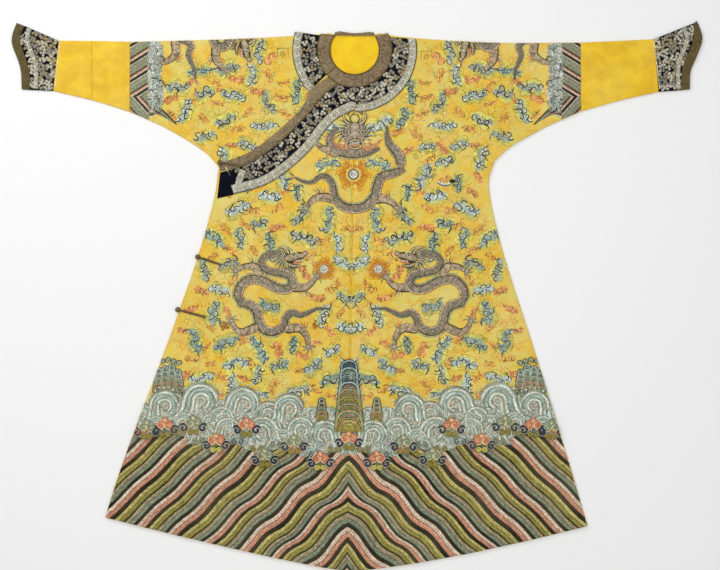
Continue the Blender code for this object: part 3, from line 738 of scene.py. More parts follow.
class Needlework:
    # gathers worked bands and discs, then sews them down as one mesh
    sink = 0.0001                    # how far an edge is drawn down into the cloth

    def __init__(self, ground):
        self.ground = ground
        self.points, self.faces, self.dyes, self.stitches = [], [], [], []
        self.count = 0
        self.jitter = np.random.default_rng(5)

    def sheetOf(self, points, dyes, stitches, keep=None):
        # points, dyes and stitches are rows by columns, and neighbours become faces
        rows, columns = points.shape[:2]
        index = self.count + np.arange(rows * columns).reshape(rows, columns)
        a, b, c, d = index[:-1, :-1], index[1:, :-1], index[1:, 1:], index[:-1, 1:]
        quads = np.stack([a, b, c, d], -1).reshape(-1, 4)
        if keep is not None:
            ok = keep[:-1, :-1] & keep[1:, :-1] & keep[1:, 1:] & keep[:-1, 1:]
            quads = quads[ok.reshape(-1)]
        self.points.append(points.reshape(-1, 3))
        self.dyes.append(dyes.reshape(-1, 3))
        self.stitches.append(stitches.reshape(-1, 2))
        self.faces.append(quads)
        self.count += rows * columns

    def band(
        self, line, width, columns, rise=0.0007, lift=0.0, ends="round", keep=None, vary=0.06, mottle=0.10
    ):
        # columns: (place across from -1 to 1, dye) from one edge to the other
        line = np.asarray(line, float)
        along = distances(line)
        total = max(along[-1], 1e-6)
        normal = directions(line)[1]
        if np.ndim(width) == 0:
            half = np.full(len(line), width / 2)
        else:
            half = np.interp(along / total, np.linspace(0, 1, len(width)), width) / 2
        if ends == "round":
            reach = np.minimum(half, total / 2)
            near = np.clip(np.minimum(along, total - along) / np.maximum(reach, 1e-6), 0, 1)
            half = half * np.sqrt(np.clip(1 - (1 - near) ** 2, 0.04, 1))
        elif ends == "point":
            half = half * np.clip(np.sin(math.pi * np.clip(along / total, 0.01, 0.99)) ** 0.7, 0.06, 1)
        elif ends == "tail":
            half = half * np.clip((1 - along / total) ** 0.75, 0.05, 1)
        place = np.array([c[0] for c in columns])
        dyes = np.array([dyeOf(c[1]) for c in columns])
        flat = line[:, None, :] + normal[:, None, :] * (half[:, None] * place)[:, :, None]
        height = lift + rise * (1 - place**2) * np.minimum(1, half / max(half.max(), 1e-6))[:, None]
        height = np.where(np.abs(place) > 0.98, lift - self.sink, height)
        points = np.concatenate([flat, height[:, :, None]], 2)
        tone = 1 + vary * self.jitter.standard_normal()
        grain = 1 + mottle * self.jitter.standard_normal((len(line), len(place), 1))
        shades = dyes * tone * np.clip(grain, 0.4, 1.7)
        stitches = np.stack([np.broadcast_to(along[:, None], points.shape[:2]), half[:, None] * place], -1)
        mask = None if keep is None else keep(points[..., 0], points[..., 1])
        self.sheetOf(points, shades, stitches, keep=mask)

    def disc(self, centre, radius, rings, rise=0.0008, lift=0.0, sides=14, squash=1.0):
        # rings: (share of the radius, dye) from the middle out
        share = np.array([r[0] for r in rings], float)
        dyes = np.array([dyeOf(r[1]) for r in rings])
        angle = np.linspace(0, 2 * math.pi, sides + 1)
        x = radius * share[:, None] * np.cos(angle)
        y = radius * squash * share[:, None] * np.sin(angle)
        height = np.broadcast_to((lift + rise * (1 - share**2))[:, None], x.shape).copy()
        height[-1] = lift - self.sink
        points = np.stack([centre[0] + x, centre[1] + y, height], -1)
        shades = np.broadcast_to(dyes[:, None, :], points.shape)
        self.sheetOf(points, shades, np.stack([x, y], -1))

    def patch(self, outline, spacing, dye, lift=0.0003, step=0.008):
        # a worked area: dye is a function that gives a colour to each of so many points
        flat = np.asarray(flow(outline, step, closed=True))[:-1]
        gx, gy = gridInside(flat, spacing, spacing * 0.6)
        x, y = np.concatenate([flat[:, 0], gx]), np.concatenate([flat[:, 1], gy])
        found = triangulate(flat, x, y)
        xy = np.array([tuple(v) for v in found[0]])
        rim = np.array([bool(o) and o[0] < len(flat) for o in found[3]])
        height = np.where(rim, -self.sink, lift)
        self.points.append(np.column_stack([xy, height]))
        self.dyes.append(dye(len(xy)))
        self.stitches.append(xy.copy())
        triangles = np.array(found[2], int) + self.count
        self.faces.append(np.column_stack([triangles, triangles[:, :1]]))
        self.count += len(xy)

    def sewDown(self, name, material, slot):
        points = np.concatenate(self.points)
        dyes = np.clip(np.concatenate(self.dyes), 0, 1)
        stitches = np.concatenate(self.stitches)
        faces = np.concatenate(self.faces)

        def usedPoints():
            used = np.zeros(len(points), bool)
            used[faces.reshape(-1)] = True
            return used

        z = np.full(len(points), np.nan)
        cast = self.ground.ray_cast
        for i in np.flatnonzero(usedPoints()):
            x, y = points[i, :2]
            hits = [cast(Vector((x + dx, y, above)), down)[0] for dx in (-0.0008, 0.0008)]
            heights = [hit.z for hit in hits if hit is not None]
            if heights:
                z[i] = max(heights)
        faces = faces[~np.isnan(z[faces]).all(1)]
        for i in np.flatnonzero(usedPoints() & np.isnan(z)):  # worked right up to the edge
            near = self.ground.find_nearest(Vector((points[i, 0], points[i, 1], 0.006)))[0]
            points[i, :2] = near.x, near.y
            points[i, 2] = min(points[i, 2], 0.0003)
            z[i] = near.z
        points[:, 2] += z
        used = usedPoints()
        renumber = np.cumsum(used) - 1
        points, dyes, stitches = points[used], dyes[used], stitches[used]
        faces = renumber[faces]
        mesh = bpy.data.meshes.new(name)
        rows = [f[:3] if f[3] == f[0] else f for f in faces.tolist()]
        mesh.from_pydata(points.tolist(), [], rows)
        mesh.validate()
        colour = mesh.color_attributes.new("dye", "FLOAT_COLOR", "POINT")
        colour.data.foreach_set(
            "color", np.column_stack([dyes, np.ones(len(dyes))]).astype(np.float32).ravel()
        )
        corners = np.zeros(len(mesh.loops), np.int32)
        mesh.loops.foreach_get("vertex_index", corners)
        layer = mesh.uv_layers.new(name="stitch")
        layer.data.foreach_set("uv", stitches[corners].astype(np.float32).ravel())
        triangles = sum(len(p.vertices) - 2 for p in mesh.polygons)
        print(f"{name}: {triangles} triangles")
        addObject(name, mesh, material)


# the striped hem is standing water, worked as padded cords that peak on the centre seam
hemStripes = {
    "peak": -0.5117,         # top of one coral cord on the centre seam
    "repeat": 0.1105,
    "slope": 0.955,
    "swell": 0.0086,         # how far the cords wander
    "swellLength": 0.105,
    "swellStart": 0.105,     # how far from the seam the first crest of the swell is
    "swellDrift": 0.53,      # and how much farther it is from each cord to the next
    "rise": 0.0013,
    "reach": 0.72,           # from the centre seam
    "step": 0.005,
    "lowest": -0.78,
    "edge": 0.24,            # how dark the painted shade in the groove between two cords is
    "cords": (
        ("blush", 5.0), ("dustyCoral", 5.4), ("dark", 4.8), ("paleOlive", 4.8), ("olive", 4.6),
        ("dark", 1.4), ("beige", 5.0), ("sage", 4.8), ("dark", 3.8),
    ),
}


def hemFall(s, peak):
    # how far below its peak a cord lies at s from the centre seam
    h = hemStripes
    swell = h["swell"] * (0.25 + 0.75 * np.exp(-((s / 0.36) ** 2)))
    phase = 2 * math.pi / h["swellLength"]
    shift = h["swellStart"] + h["swellDrift"] * (peak - h["peak"])
    return h["slope"] * s + swell * (np.sin(phase * (s - shift)) - np.sin(phase * -shift))


def waterLine(s):
    # where the cords end and the breakers begin
    return -0.430 + 0.072 * (s / 0.58) ** 1.3 + 0.010 * np.sin(s * 43)


def stitchHem():
    work = Needlework(fieldGround)
    h = hemStripes
    s = np.concatenate([[0.0], np.arange(h["step"], h["reach"], h["step"])])
    total = sum(share for dye, share in h["cords"])
    across = np.array([0.0, 0.18, 0.40, 0.52, 0.64, 0.83, 1.0])  # down each cord, from edge to edge
    crown = 1 - (2 * across - 1) ** 2
    for side in (-1, 1):
        for repeat in range(-8, 4):
            top = h["peak"] - repeat * h["repeat"]
            for dye, share in h["cords"]:
                height = h["repeat"] * share / total
                core = dyeOf(dye)
                # painted shade darkens each cord's edges, in the grooves between cords, and a painted
                # highlight lightens its two lobes round a painted shaded dip
                edge = core * h["edge"]
                shade = np.stack([edge, core, core * 1.25, core * 0.66, core * 1.20, core * 0.95, edge])
                levels = top - height * across
                y = levels[None, :] - hemFall(s[:, None], levels[None, :])
                x = centreX(y) + side * s[:, None]
                z = np.broadcast_to(h["rise"] * crown * min(1, share / 6), x.shape)
                keep = (y < waterLine(s[:, None]) + 0.006) & (y > h["lowest"])
                if keep.any():
                    points = np.stack([x, y, z], -1)
                    twist = 1 + 0.24 * work.jitter.standard_normal((*x.shape, 1))
                    shades = shade * np.clip(twist, 0.5, 1.5) * (1 + 0.05 * work.jitter.standard_normal())
                    along = np.broadcast_to(s[:, None] * 1.33, x.shape)
                    stitches = np.stack([along, np.broadcast_to(across * height, x.shape)], -1)
                    rows = (points, shades, stitches, keep)
                    if side < 0:
                        rows = (row[:, ::-1] for row in rows)
                    work.sheetOf(*rows)
                top -= height
    work.sewDown("hem_water_cords", materials["stripeCord"], "figured_silk")


stitchHem()
print("hem cords sewn")


class Stamp:
    # motifs are drawn in millimetres about their own middle, then set down on the robe

    def __init__(self, work, at, turn=0.0, size=1.0, flip=1):
        self.work, self.at, self.size, self.flip = work, at, size * 0.001, flip
        self.turn = math.radians(turn) * flip

    def spot(self, points):
        points = np.asarray(points, float) * self.size
        x, y = points[..., 0] * self.flip, points[..., 1]
        c, s = math.cos(self.turn), math.sin(self.turn)
        return np.stack([self.at[0] + c * x - s * y, self.at[1] + s * x + c * y], -1)

    def band(self, knots, width, columns, step=4.0, rounded=True, **how):
        line = flow(knots, step) if rounded else np.asarray(knots, float)
        if self.flip < 0:
            columns = [(-place, dye) for place, dye in reversed(columns)]
        width = np.asarray(width, float) * self.size
        self.work.band(self.spot(line), float(width) if width.ndim == 0 else width, columns, **how)

    def disc(self, centre, radius, rings, **how):
        self.work.disc(self.spot(centre), radius * self.size, rings, **how)


def outlined(edge, core, light=None):
    # a worked band with a dark line down each side and a lit middle
    light = core if light is None else light
    return [(-1, edge), (-0.62, edge), (-0.5, core), (0.05, light), (0.55, core), (0.65, edge), (1, edge)]


def shaded(edge, core, light):
    # dark along one side only, as fins, hair and curls are worked
    return [(-1, edge), (-0.35, edge), (-0.2, core), (0.35, light), (1, core)]


def plainBand(core, light=None):
    return [(-1, core), (0, core if light is None else light), (1, core)]


def hookLine(x, y, radius, start, sweep, tail):
    # a straight tail running into an arc, the stroke that clouds and bats are drawn with
    count = max(5, int(abs(sweep) / 28))
    a = np.radians(start + np.linspace(0, sweep, count))
    arc = np.stack([x + radius * np.cos(a), y + radius * np.sin(a)], 1)
    heading = math.radians(start + math.copysign(90, sweep))
    root = arc[0] - tail * np.array([math.cos(heading), math.sin(heading)])
    return np.vstack([root, (root + arc[0]) / 2, arc])


cloudDyes = (
    ("navy", "paleBlue", "iceWhite"), ("teal", "greyGreen", "paleBlue"), ("navy", "greyGreen", "iceWhite"),
    ("dark", "sage", "paleBlue"), ("teal", "paleBlue", "silver"), ("dark", "greyGreen", "silver"),
)


def cloud(stamp, dyes, dice):
    # loose dark hooks strung along a drift, on a pale ground that fades through lime to gold
    edge, core, light = dyes
    count = int(dice.integers(6, 10))
    level = dice.random() < 0.6
    drift = math.radians(dice.uniform(-28, 28) if level else dice.uniform(60, 120))
    ahead = np.array([math.cos(drift), math.sin(drift)])
    aside = np.array([-ahead[1], ahead[0]])
    spine = [ahead * (k - 2.5) * count * 1.6 + aside * dice.uniform(-6, 6) for k in range(6)]
    lit = dyeOf(core) * 0.5 + dyeOf(light) * 0.5
    ground = [
        (-1, "gold"), (-0.8, "lime"), (-0.5, "lime"), (-0.25, core), (0, lit),
        (0.25, core), (0.5, "lime"), (0.8, "lime"), (1, "gold"),
    ]
    stamp.band(spine, (26, 44, 32, 46, 26), ground, ends="round", rise=0.0006, lift=0.0001, mottle=0.18)
    for n in range(count):
        along = (n - (count - 1) / 2) * 7.4 + dice.uniform(-3, 3)
        x, y = ahead * along + aside * dice.uniform(-10, 10)
        radius = dice.uniform(3.0, 6.4)
        turn = dice.uniform(0, 360)
        sweep = dice.uniform(110, 210) * (1 if dice.random() < 0.5 else -1)
        inner = hookLine(x, y, radius * 0.5, turn, sweep, 3)
        stamp.band(
            inner, radius * 0.8, plainBand(light), rounded=False, rise=0.0005, lift=0.0007, ends="point"
        )
        outer = hookLine(x, y, radius, turn, sweep, dice.uniform(5, 15))
        dark = plainBand(edge if n % 3 else "teal")
        stamp.band(outer, dice.uniform(1.8, 3.0), dark, rounded=False, rise=0.0005, lift=0.0011)


def bat(stamp, dice):
    # a peach-coloured patch with a few thin russet hooks on it
    spine = [(x, dice.uniform(-4, 4)) for x in (-20, -7, 7, 20)]
    patchDye = ("peach", "salmon", "peach")[int(dice.integers(3))]
    ground = [(-1, "gold"), (-0.5, patchDye), (0, patchDye), (0.5, patchDye), (1, "gold")]
    stamp.band(spine, (12, 22, 14, 22, 12), ground, rise=0.0004, lift=0.0001, mottle=0.2)
    for k in range(7):
        x, y = -15 + 5 * k + dice.uniform(-3, 3), dice.uniform(-7, 7)
        sweep = dice.uniform(120, 220) * (1 if k % 2 else -1)
        hook = hookLine(x, y, dice.uniform(2.4, 4.4), dice.uniform(0, 360), sweep, dice.uniform(4, 9))
        thread = plainBand(("russet", "coral", "bronze", "russet")[int(dice.integers(4))])
        stamp.band(hook, dice.uniform(1.3, 2.2), thread, rounded=False, rise=0.0004, lift=0.0005)


def vine(stamp, dye, dice):
    # fine couched scrolls that fill the ground, curls to both sides of a stem
    stem = [(0, -18), (3, -8), (-2, 2), (2, 11), (-1, 19)]
    stamp.band(stem, 1.5, plainBand(dye), step=4.5, rise=0.0004, ends="tail")
    for k, y in enumerate((-11, -2, 7, 14)):
        side = 1 if k % 2 else -1
        reach = dice.uniform(6, 11)
        turned = spiral((reach * side, y + 2), 4.2, -90, 0.95 * side, 0.4, count=8)
        curl = np.vstack([(0, y - 3), (reach * side * 0.5, y - 2), turned])
        stamp.band(curl, 1.4, plainBand(dye), rounded=False, rise=0.0004, ends="tail")


def sprig(stamp, dye, width=2.2):
    # a stray scroll of couched thread in the ground
    line = [(-13, -2), (-8, 3), (-2, -1), (4, 4), (10, 1), (9, -4), (5, -3)]
    stamp.band(line, width, plainBand(dye), step=4.5, rise=0.0003, ends="tail")


def pearl(stamp, radius=15.5, rim="teal"):
    rings = ((0, "iceWhite"), (0.5, "iceWhite"), (0.72, "silver"), (0.78, rim), (1, rim))
    stamp.disc((0, 0), radius, rings, rise=0.0016)
    curl = spiral((0, 0), radius * 0.5, 90, 1.4, 0.15)
    stamp.band(curl, 2.2, plainBand("pewter"), rounded=False, rise=0.0003, lift=0.0016)


def pearlFlames(stamp, count=9, reach=(20, 46)):
    # an amber glow with rust tongues curling out of it
    inner, outer = reach
    glow = ((0, "peach"), (0.6, "amber"), (1, "gold"))
    stamp.disc((0, 0), outer, glow, rise=0.0003, lift=0.0001, sides=20)
    for i in range(count):
        a = 2 * math.pi * (i + 0.3) / count
        bend = 0.5 if i % 2 else -0.5
        radii = np.array([inner, inner * 0.5 + outer * 0.5, outer, outer * 1.16, outer * 1.05])
        turns = a + bend * np.array([0.0, 0.55, 0.25, 0.75, 1.15])
        tongue = np.stack([radii * np.cos(turns), radii * np.sin(turns)], 1)
        stamp.band(tongue, 3.2, plainBand("rust", "orange"), ends="tail", rise=0.0006, lift=0.0004)


def dragonBody(stamp, knots, width, lift=0.0010):
    # a scaled back, dark along the spine, and a banded pale belly, with fins along the spine
    line = flow(knots, 4.0)
    back = [
        (-1, "ink"), (-0.84, "dark"), (-0.74, "taupe"), (-0.35, "mauve"), (0.0, "pewter"), (0.3, "mauve"),
        (0.58, "pewter"), (0.68, "silver"), (0.84, "pink"), (0.92, "taupe"), (1, "dark"),
    ]
    stamp.band(line, width, back, rounded=False, rise=0.0022, lift=lift, ends="round", mottle=0.42)
    along = distances(line)
    total = along[-1]
    widths = np.interp(along / total, np.linspace(0, 1, len(width)), width)
    normal = directions(line)[1]

    def at(distance, across):
        i = np.interp(distance, along, np.arange(len(line)))
        k = min(int(i), len(line) - 2)
        f = i - k
        p = line[k] * (1 - f) + line[k + 1] * f
        return p + normal[k] * across * (widths[k] * (1 - f) + widths[k + 1] * f) / 2

    pitch = 6.5  # from one row of scales to the next
    for n in range(int(total / pitch)):
        d = n * pitch
        for row, across in enumerate((-0.5, -0.05, 0.4)):
            shift = pitch / 2 if row % 2 else 0.0
            if d + shift + 4 > total:
                continue
            scale = [at(d + shift, across - 0.2), at(d + shift + 4.2, across), at(d + shift, across + 0.2)]
            dyes = plainBand("bronze" if row == 1 else "dark", "pewter")
            stamp.band(scale, 1.7, dyes, step=3.0, rise=0.0005, lift=lift + 0.0020, ends="none")
        if d + 3 < total:
            rib = [at(d, 0.66), at(d + 1.5, 0.92)]
            stamp.band(rib, 1.2, plainBand("rust"), step=3.0, rise=0.0002, lift=lift + 0.0012, ends="none")
            fin = [at(d, -0.95), at(d + 4, -1.32), at(d + 9 if d + 9 < total else total, -1.42)]
            dyes = plainBand(("sage", "teal", "greyGreen")[n % 3], "greyGreen")
            stamp.band(fin, 3.6, dyes, step=3.0, rise=0.0004, lift=lift - 0.0004, ends="tail")


def dragonLeg(stamp, knots, lift=0.0008):
    line = flow(knots, 4.0)
    skin = [
        (-1, "ink"), (-0.80, "dark"), (-0.7, "taupe"), (-0.2, "mauve"), (0.3, "taupe"), (0.8, "mauve"),
        (1, "bronze"),
    ]
    stamp.band(line, (25, 24, 18, 13), skin, rounded=False, rise=0.0018, lift=lift, mottle=0.42)
    toe = line[-1]
    heading = math.degrees(math.atan2(*(line[-1] - line[-3])[::-1]))
    for k in range(5):  # five claws, as an imperial robe has
        a = math.radians(heading + (k - 2) * 42)
        claw = [
            toe, toe + 12 * np.array([math.cos(a), math.sin(a)]),
            toe + 23 * np.array([math.cos(a - 0.35), math.sin(a - 0.35)]),
        ]
        horny = outlined("dark", "pewter", "silver")
        stamp.band(claw, 6.0, horny, step=3.5, rise=0.0008, lift=lift + 0.0004, ends="tail")
    elbow = line[len(line) // 2]
    for k in range(6):  # flame-like hair at the elbow
        a = math.radians(heading + 120 + k * 24)
        tip = elbow + 29 * np.array([math.cos(a + 0.4), math.sin(a + 0.4)])
        hair = [elbow, elbow + 15 * np.array([math.cos(a), math.sin(a)]), tip]
        dye = ("sage", "orange", "coral", "pink", "teal", "coral")[k]
        dyes = shaded("rust" if k in (1, 2) else "pewter", dye, dye)
        stamp.band(hair, 6, dyes, step=4, rise=0.0005, lift=lift - 0.0003, ends="tail")


def dragonHeadSide(stamp, x, y):
    # in profile, looking towards +x
    grow = 1.22

    def shift(points):
        return [(x + a * grow, y + b * grow) for a, b in points]

    for k in range(8):  # mane, swept back
        a = math.radians(120 + k * 17)
        root = (-8 + 9 * math.cos(a), 1 + 9 * math.sin(a))
        tip = (-8 + 36 * math.cos(a + 0.15), 1 + 31 * math.sin(a + 0.15))
        middle = ((root[0] + tip[0]) / 2 + 3, (root[1] + tip[1]) / 2 + 4)
        dyes = shaded("dark", ("taupe", "sage", "bronze", "pewter")[k % 4], "silver")
        stamp.band(shift([root, middle, tip]), 8, dyes, rise=0.0008, lift=0.0024, ends="tail")
    for side in (0, 7):  # horns
        horn = shift([(-4 + side, 10), (-10 + side, 22), (-24 + side, 28), (-32 + side, 25)])
        stamp.band(horn, (7, 6, 4, 2), outlined("dark", "beige", "cream"), rise=0.0010, lift=0.0030)
    skull = shift([(-14, 0), (0, 4), (14, 7), (30, 9)])
    skin = outlined("dark", "taupe", "mauve")
    stamp.band(skull, (27, 31, 22, 16), skin, rise=0.0022, lift=0.0030, mottle=0.3)
    jaw = shift([(-8, -10), (6, -15), (22, -14)])
    stamp.band(jaw, (12, 11, 6), outlined("dark", "mauve", "beige"), rise=0.0014, lift=0.0026)
    tongue = shift([(4, -5), (14, -6), (25, -4)])
    stamp.band(tongue, 6, plainBand("rust", "coral"), rise=0.0004, lift=0.0030)
    for k in range(6):
        tooth = shift([(8 + 3.6 * k, -1.5), (8.6 + 3.6 * k, -6.5)])
        stamp.band(tooth, 2.4, plainBand("iceWhite"), step=2.0, rise=0.0005, lift=0.0036, ends="tail")
    nose, eye = (x + 31 * grow, y + 13 * grow), (x + 6 * grow, y + 9 * grow)
    stamp.disc(nose, 7, ((0, "silver"), (0.6, "mauve"), (1, "dark")), lift=0.0036, sides=9)
    rings = ((0, "ink"), (0.5, "ink"), (0.6, "silver"), (0.8, "silver"), (1, "ink"))
    stamp.disc(eye, 5, rings, lift=0.0048, sides=10)
    brow = shift([(-2, 13), (6, 17), (14, 13)])
    stamp.band(brow, 4, plainBand("lime", "cream"), rise=0.0006, lift=0.0048)
    for bend in (1, -1):  # whiskers
        whisker = shift([(30, 12), (42, 16 + 10 * bend), (52, 8 + 16 * bend), (64, 14 + 20 * bend)])
        stamp.band(whisker, 2.4, plainBand("silver"), rise=0.0004, lift=0.0010, ends="tail")
    for k in range(5):  # beard
        lock = shift([(4 - 5 * k, -17), (8 - 6 * k, -27), (2 - 7 * k, -36)])
        stamp.band(lock, 5, shaded("dark", "teal", "greyGreen"), rise=0.0006, lift=0.0014, ends="tail")


def tailTuft(stamp, root, middle, tip, spread, dyes):
    for k, dye in enumerate(dyes):
        fan = k - 2
        tuft = [root, (middle[0], middle[1] + spread[0] * fan), (tip[0], tip[1] + spread[1] * fan)]
        stamp.band(tuft, 4, plainBand(dye), ends="tail", rise=0.0005)


# the dragons to each side of the skirt and over the shoulders share one pose
sidePose = {
    "skirt": (0.206, 0.003),         # from the centre seam, and up
    "skirtPearl": (0.0735, 0.0725),
    "shoulder": (0.395, 0.718),
    "head": (44, 96),
    "lower": [
        (-100, -19), (-64, -27), (-47, -46), (-42, -70), (-30, -92), (-3, -98), (20, -85), (29, -60),
        (45, -46), (70, -53), (95, -44), (114, -36), (138, -37),
    ],
    "lowerWidths": (21, 25, 25, 25, 24, 20, 16, 10, 5),
    "upper": [
        (16, 112), (-16, 108), (-34, 88), (-18, 67), (18, 60), (43, 51), (49, 29), (32, 14),
        (2, 18), (-30, 36), (-66, 41), (-91, 23), (-98, -3), (-84, -20),
    ],
    "upperWidths": (15, 18, 20, 22, 24, 25, 25, 25, 22),
    "legs": (
        [(-38, 48), (-52, 74), (-80, 76), (-104, 66)],
        [(40, 20), (78, 20), (96, 30), (112, 48)],
        [(-44, -84), (-84, -100), (-106, -92), (-116, -72)],
        [(24, -94), (64, -90), (86, -112), (90, -138)],
    ),
}


def sideDragon(stamp):
    for leg in sidePose["legs"]:
        dragonLeg(stamp, leg)
    dragonBody(stamp, sidePose["lower"], sidePose["lowerWidths"])
    tailTuft(stamp, (134, -37), (148, -40), (160, -37), (7, 12), ("coral", "sage", "pink", "teal", "coral"))
    dragonBody(stamp, sidePose["upper"], sidePose["upperWidths"], lift=0.0016)
    dragonHeadSide(stamp, *sidePose["head"])


def dragonHeadFront(stamp):
    for k in range(22):  # mane, all round
        a = math.radians(-60 + k * 300 / 21)
        root = (24 * math.cos(a), 4 + 24 * math.sin(a))
        reach = 47 + 5 * (k % 2)
        tip = (reach * math.cos(a + 0.2), 4 + reach * math.sin(a + 0.2))
        lock = [root, ((root[0] + tip[0]) * 0.5 - 2, (root[1] + tip[1]) * 0.5 + 2), tip]
        dyes = shaded("dark", ("taupe", "sage", "pewter", "teal")[k % 4], "silver")
        stamp.band(lock, 8.5, dyes, rise=0.0008, lift=0.0006, ends="tail")
    crown = [(-20, 50), (-11, 61), (0, 64), (11, 61), (20, 50)]
    stamp.band(crown, 7, outlined("ink", "bronze", "taupe"), rise=0.0010, lift=0.0010)
    face = ((0, "silver"), (0.45, "mauve"), (0.6, "pewter"), (0.8, "mauve"), (0.93, "dark"), (1, "dark"))
    stamp.disc((0, 6), 31, face, rise=0.0018, lift=0.0006, sides=22)
    boss = ((0, "cream"), (0.55, "lime"), (0.8, "lime"), (0.85, "dark"), (1, "dark"))
    stamp.disc((0, 41), 12, boss, rise=0.0014, lift=0.0016)
    forehead = ((0, "silver"), (0.6, "mauve"), (0.85, "mauve"), (0.9, "dark"), (1, "dark"))
    stamp.disc((0, 20), 13, forehead, rise=0.0016, lift=0.0020)
    eye = ((0, "ink"), (0.5, "ink"), (0.6, "silver"), (0.82, "silver"), (1, "ink"))
    cheek = ((0, "cream"), (0.5, "lime"), (0.85, "lime"), (1, "bronze"))
    for side in (-1, 1):
        horn = [(13 * side, 28), (25 * side, 38), (27 * side, 52), (21 * side, 62)]
        stamp.band(horn, (8, 7, 5, 3), outlined("dark", "beige", "cream"), rise=0.0012, lift=0.0020)
        brow = spiral((21 * side, 8), 10, 90 - 60 * side, -1.2 * side, 0.2)
        stamp.band(brow, 6, outlined("dark", "taupe", "silver"), rounded=False, rise=0.0012, lift=0.0026)
        stamp.disc((11 * side, 8), 4.6, eye, lift=0.0034, sides=12)
        stamp.disc((29 * side, -18), 9.5, cheek, rise=0.0014, lift=0.0014)
        whisker = [(16 * side, -12), (22 * side, -25), (14 * side, -38)]
        stamp.band(whisker, (9, 8, 4), outlined("dark", "mauve", "silver"), rise=0.0012, lift=0.0018)
    nose = ((0, "silver"), (0.6, "mauve"), (0.9, "taupe"), (1, "dark"))
    stamp.disc((0, -5), 9, nose, rise=0.0018, lift=0.0030, squash=0.8)
    for side in (-1, 1):
        stamp.disc((4 * side, -7), 2.2, ((0, "ink"), (1, "dark")), rise=0.0003, lift=0.0046, sides=8)
    lip, mouth = [(-15, -15), (0, -12), (15, -15)], [(-11, -22), (0, -24), (11, -22)]
    stamp.band(lip, 9, outlined("dark", "mauve", "beige"), rise=0.0012, lift=0.0028)
    stamp.band(mouth, 6, plainBand("russet", "mauve"), rise=0.0004, lift=0.0026)
    for k in range(6):
        x = -10 + 4 * k
        tooth = [(x, -17), (x, -23.5)]
        stamp.band(tooth, 3, plainBand("iceWhite"), step=2.5, rise=0.0006, lift=0.0034, ends="tail")
    chin = [(-14, -30), (0, -33), (14, -30)]
    stamp.band(chin, 7, outlined("dark", "beige", "silver"), rise=0.0010, lift=0.0028)
    for k in range(7):  # moustache curls streaming to each side
        side = 1 if k % 2 else -1
        reach = 48 + 7 * k
        line = [
            (18 * side, -20 - k), (36 * side, -14 - 5 * k), (reach * side * 0.85, -26 + 4 * k),
            (reach * side, -18 + 3 * k),
        ]
        stamp.band(line, 5, shaded("rust", "coral", "pink"), rise=0.0005, lift=0.0024, ends="tail")


# the dragon on the chest coils round its pearl and looks straight ahead
chestPose = {
    "pearl": (-0.0095, 0.328),
    "head": (-0.0060, 0.433),
    "headSize": 1.10,
    "coil": [
        (138, 14), (111, 3), (78, -7), (65, -33), (57, -63), (30, -88), (-5, -93), (-35, -83),
        (-53, -58), (-58, -28), (-73, -8), (-91, -8), (-111, -22), (-136, -20), (-161, -8),
    ],
    "coilWidths": (18, 24, 26, 26, 26, 25, 24, 22, 18, 13, 9, 5),
    "shoulder": [(91, 130), (92, 106), (99, 82), (116, 62), (128, 42), (128, 18)],
    "shoulderWidths": (4, 12, 20, 25, 26, 22),
    "neck": [(-42, 126), (-57, 108), (-62, 86), (-46, 65), (-8, 56), (32, 58), (56, 66), (72, 72)],
    "neckWidths": (10, 18, 24, 24, 24, 22, 16, 8),
    "legs": (
        [(-46, -70), (-76, -62), (-106, -66), (-128, -90)],
        [(50, -70), (80, -66), (104, -76), (124, -98)],
        [(-40, 50), (-62, 66), (-82, 70), (-100, 84)],
    ),
}


def chestDragon(work):
    stamp = Stamp(work, chestPose["pearl"])
    pearlFlames(stamp, 12, (20, 42))
    pearl(stamp)
    for leg in chestPose["legs"]:
        dragonLeg(stamp, leg)
    dragonBody(stamp, chestPose["coil"], chestPose["coilWidths"])
    dragonBody(stamp, chestPose["shoulder"], chestPose["shoulderWidths"], lift=0.0014)
    dragonBody(stamp, chestPose["neck"], chestPose["neckWidths"], lift=0.0008)
    tailTuft(stamp, (-160, -5), (-172, -4), (-184, 2), (6, 10), ("coral", "sage", "pink", "teal", "bronze"))
    dragonHeadFront(Stamp(work, chestPose["head"], size=chestPose["headSize"]))


def stitchDragons():
    work = Needlework(fieldGround)
    chestDragon(work)
    middle = centreX(0.03)
    for flip in (1, -1):
        (s, y), (pearlS, pearlY) = sidePose["skirt"], sidePose["skirtPearl"]
        sideDragon(Stamp(work, (middle - flip * s, y), flip=flip))
        ball = (middle - flip * pearlS, pearlY)
        pearlFlames(Stamp(work, ball, flip=flip), 9, (18, 30))
        pearl(Stamp(work, ball), 14.5, "pewter")
    work.sewDown("dragons", materials["floss"], "figured_silk")
    work = Needlework(fieldGround)
    for flip in (1, -1):
        s, y = sidePose["shoulder"]
        sideDragon(Stamp(work, (centreX(0.7) - flip * s, y), turn=-90, size=0.98, flip=flip))
    work.sewDown("shoulder_dragons", materials["floss"], "figured_silk")


stitchDragons()
print("dragons sewn")

# breakers, cloud heads and peaks stand along the top of the striped hem
# breakers as (distance from the centre seam, height, radius, which way they curl)
breakers = (
    (0.560, -0.318, 0.030, 1), (0.497, -0.296, 0.042, 1), (0.398, -0.284, 0.050, 1),
    (0.345, -0.330, 0.034, -1), (0.285, -0.292, 0.047, 1), (0.220, -0.318, 0.034, -1),
    (0.160, -0.306, 0.043, 1), (0.450, -0.345, 0.036, -1), (0.325, -0.362, 0.036, 1),
    (0.235, -0.366, 0.044, -1), (0.128, -0.362, 0.038, 1), (0.520, -0.352, 0.030, 1),
    (0.066, -0.376, 0.043, -1), (0.390, -0.372, 0.030, 1), (0.180, -0.388, 0.032, 1),
)
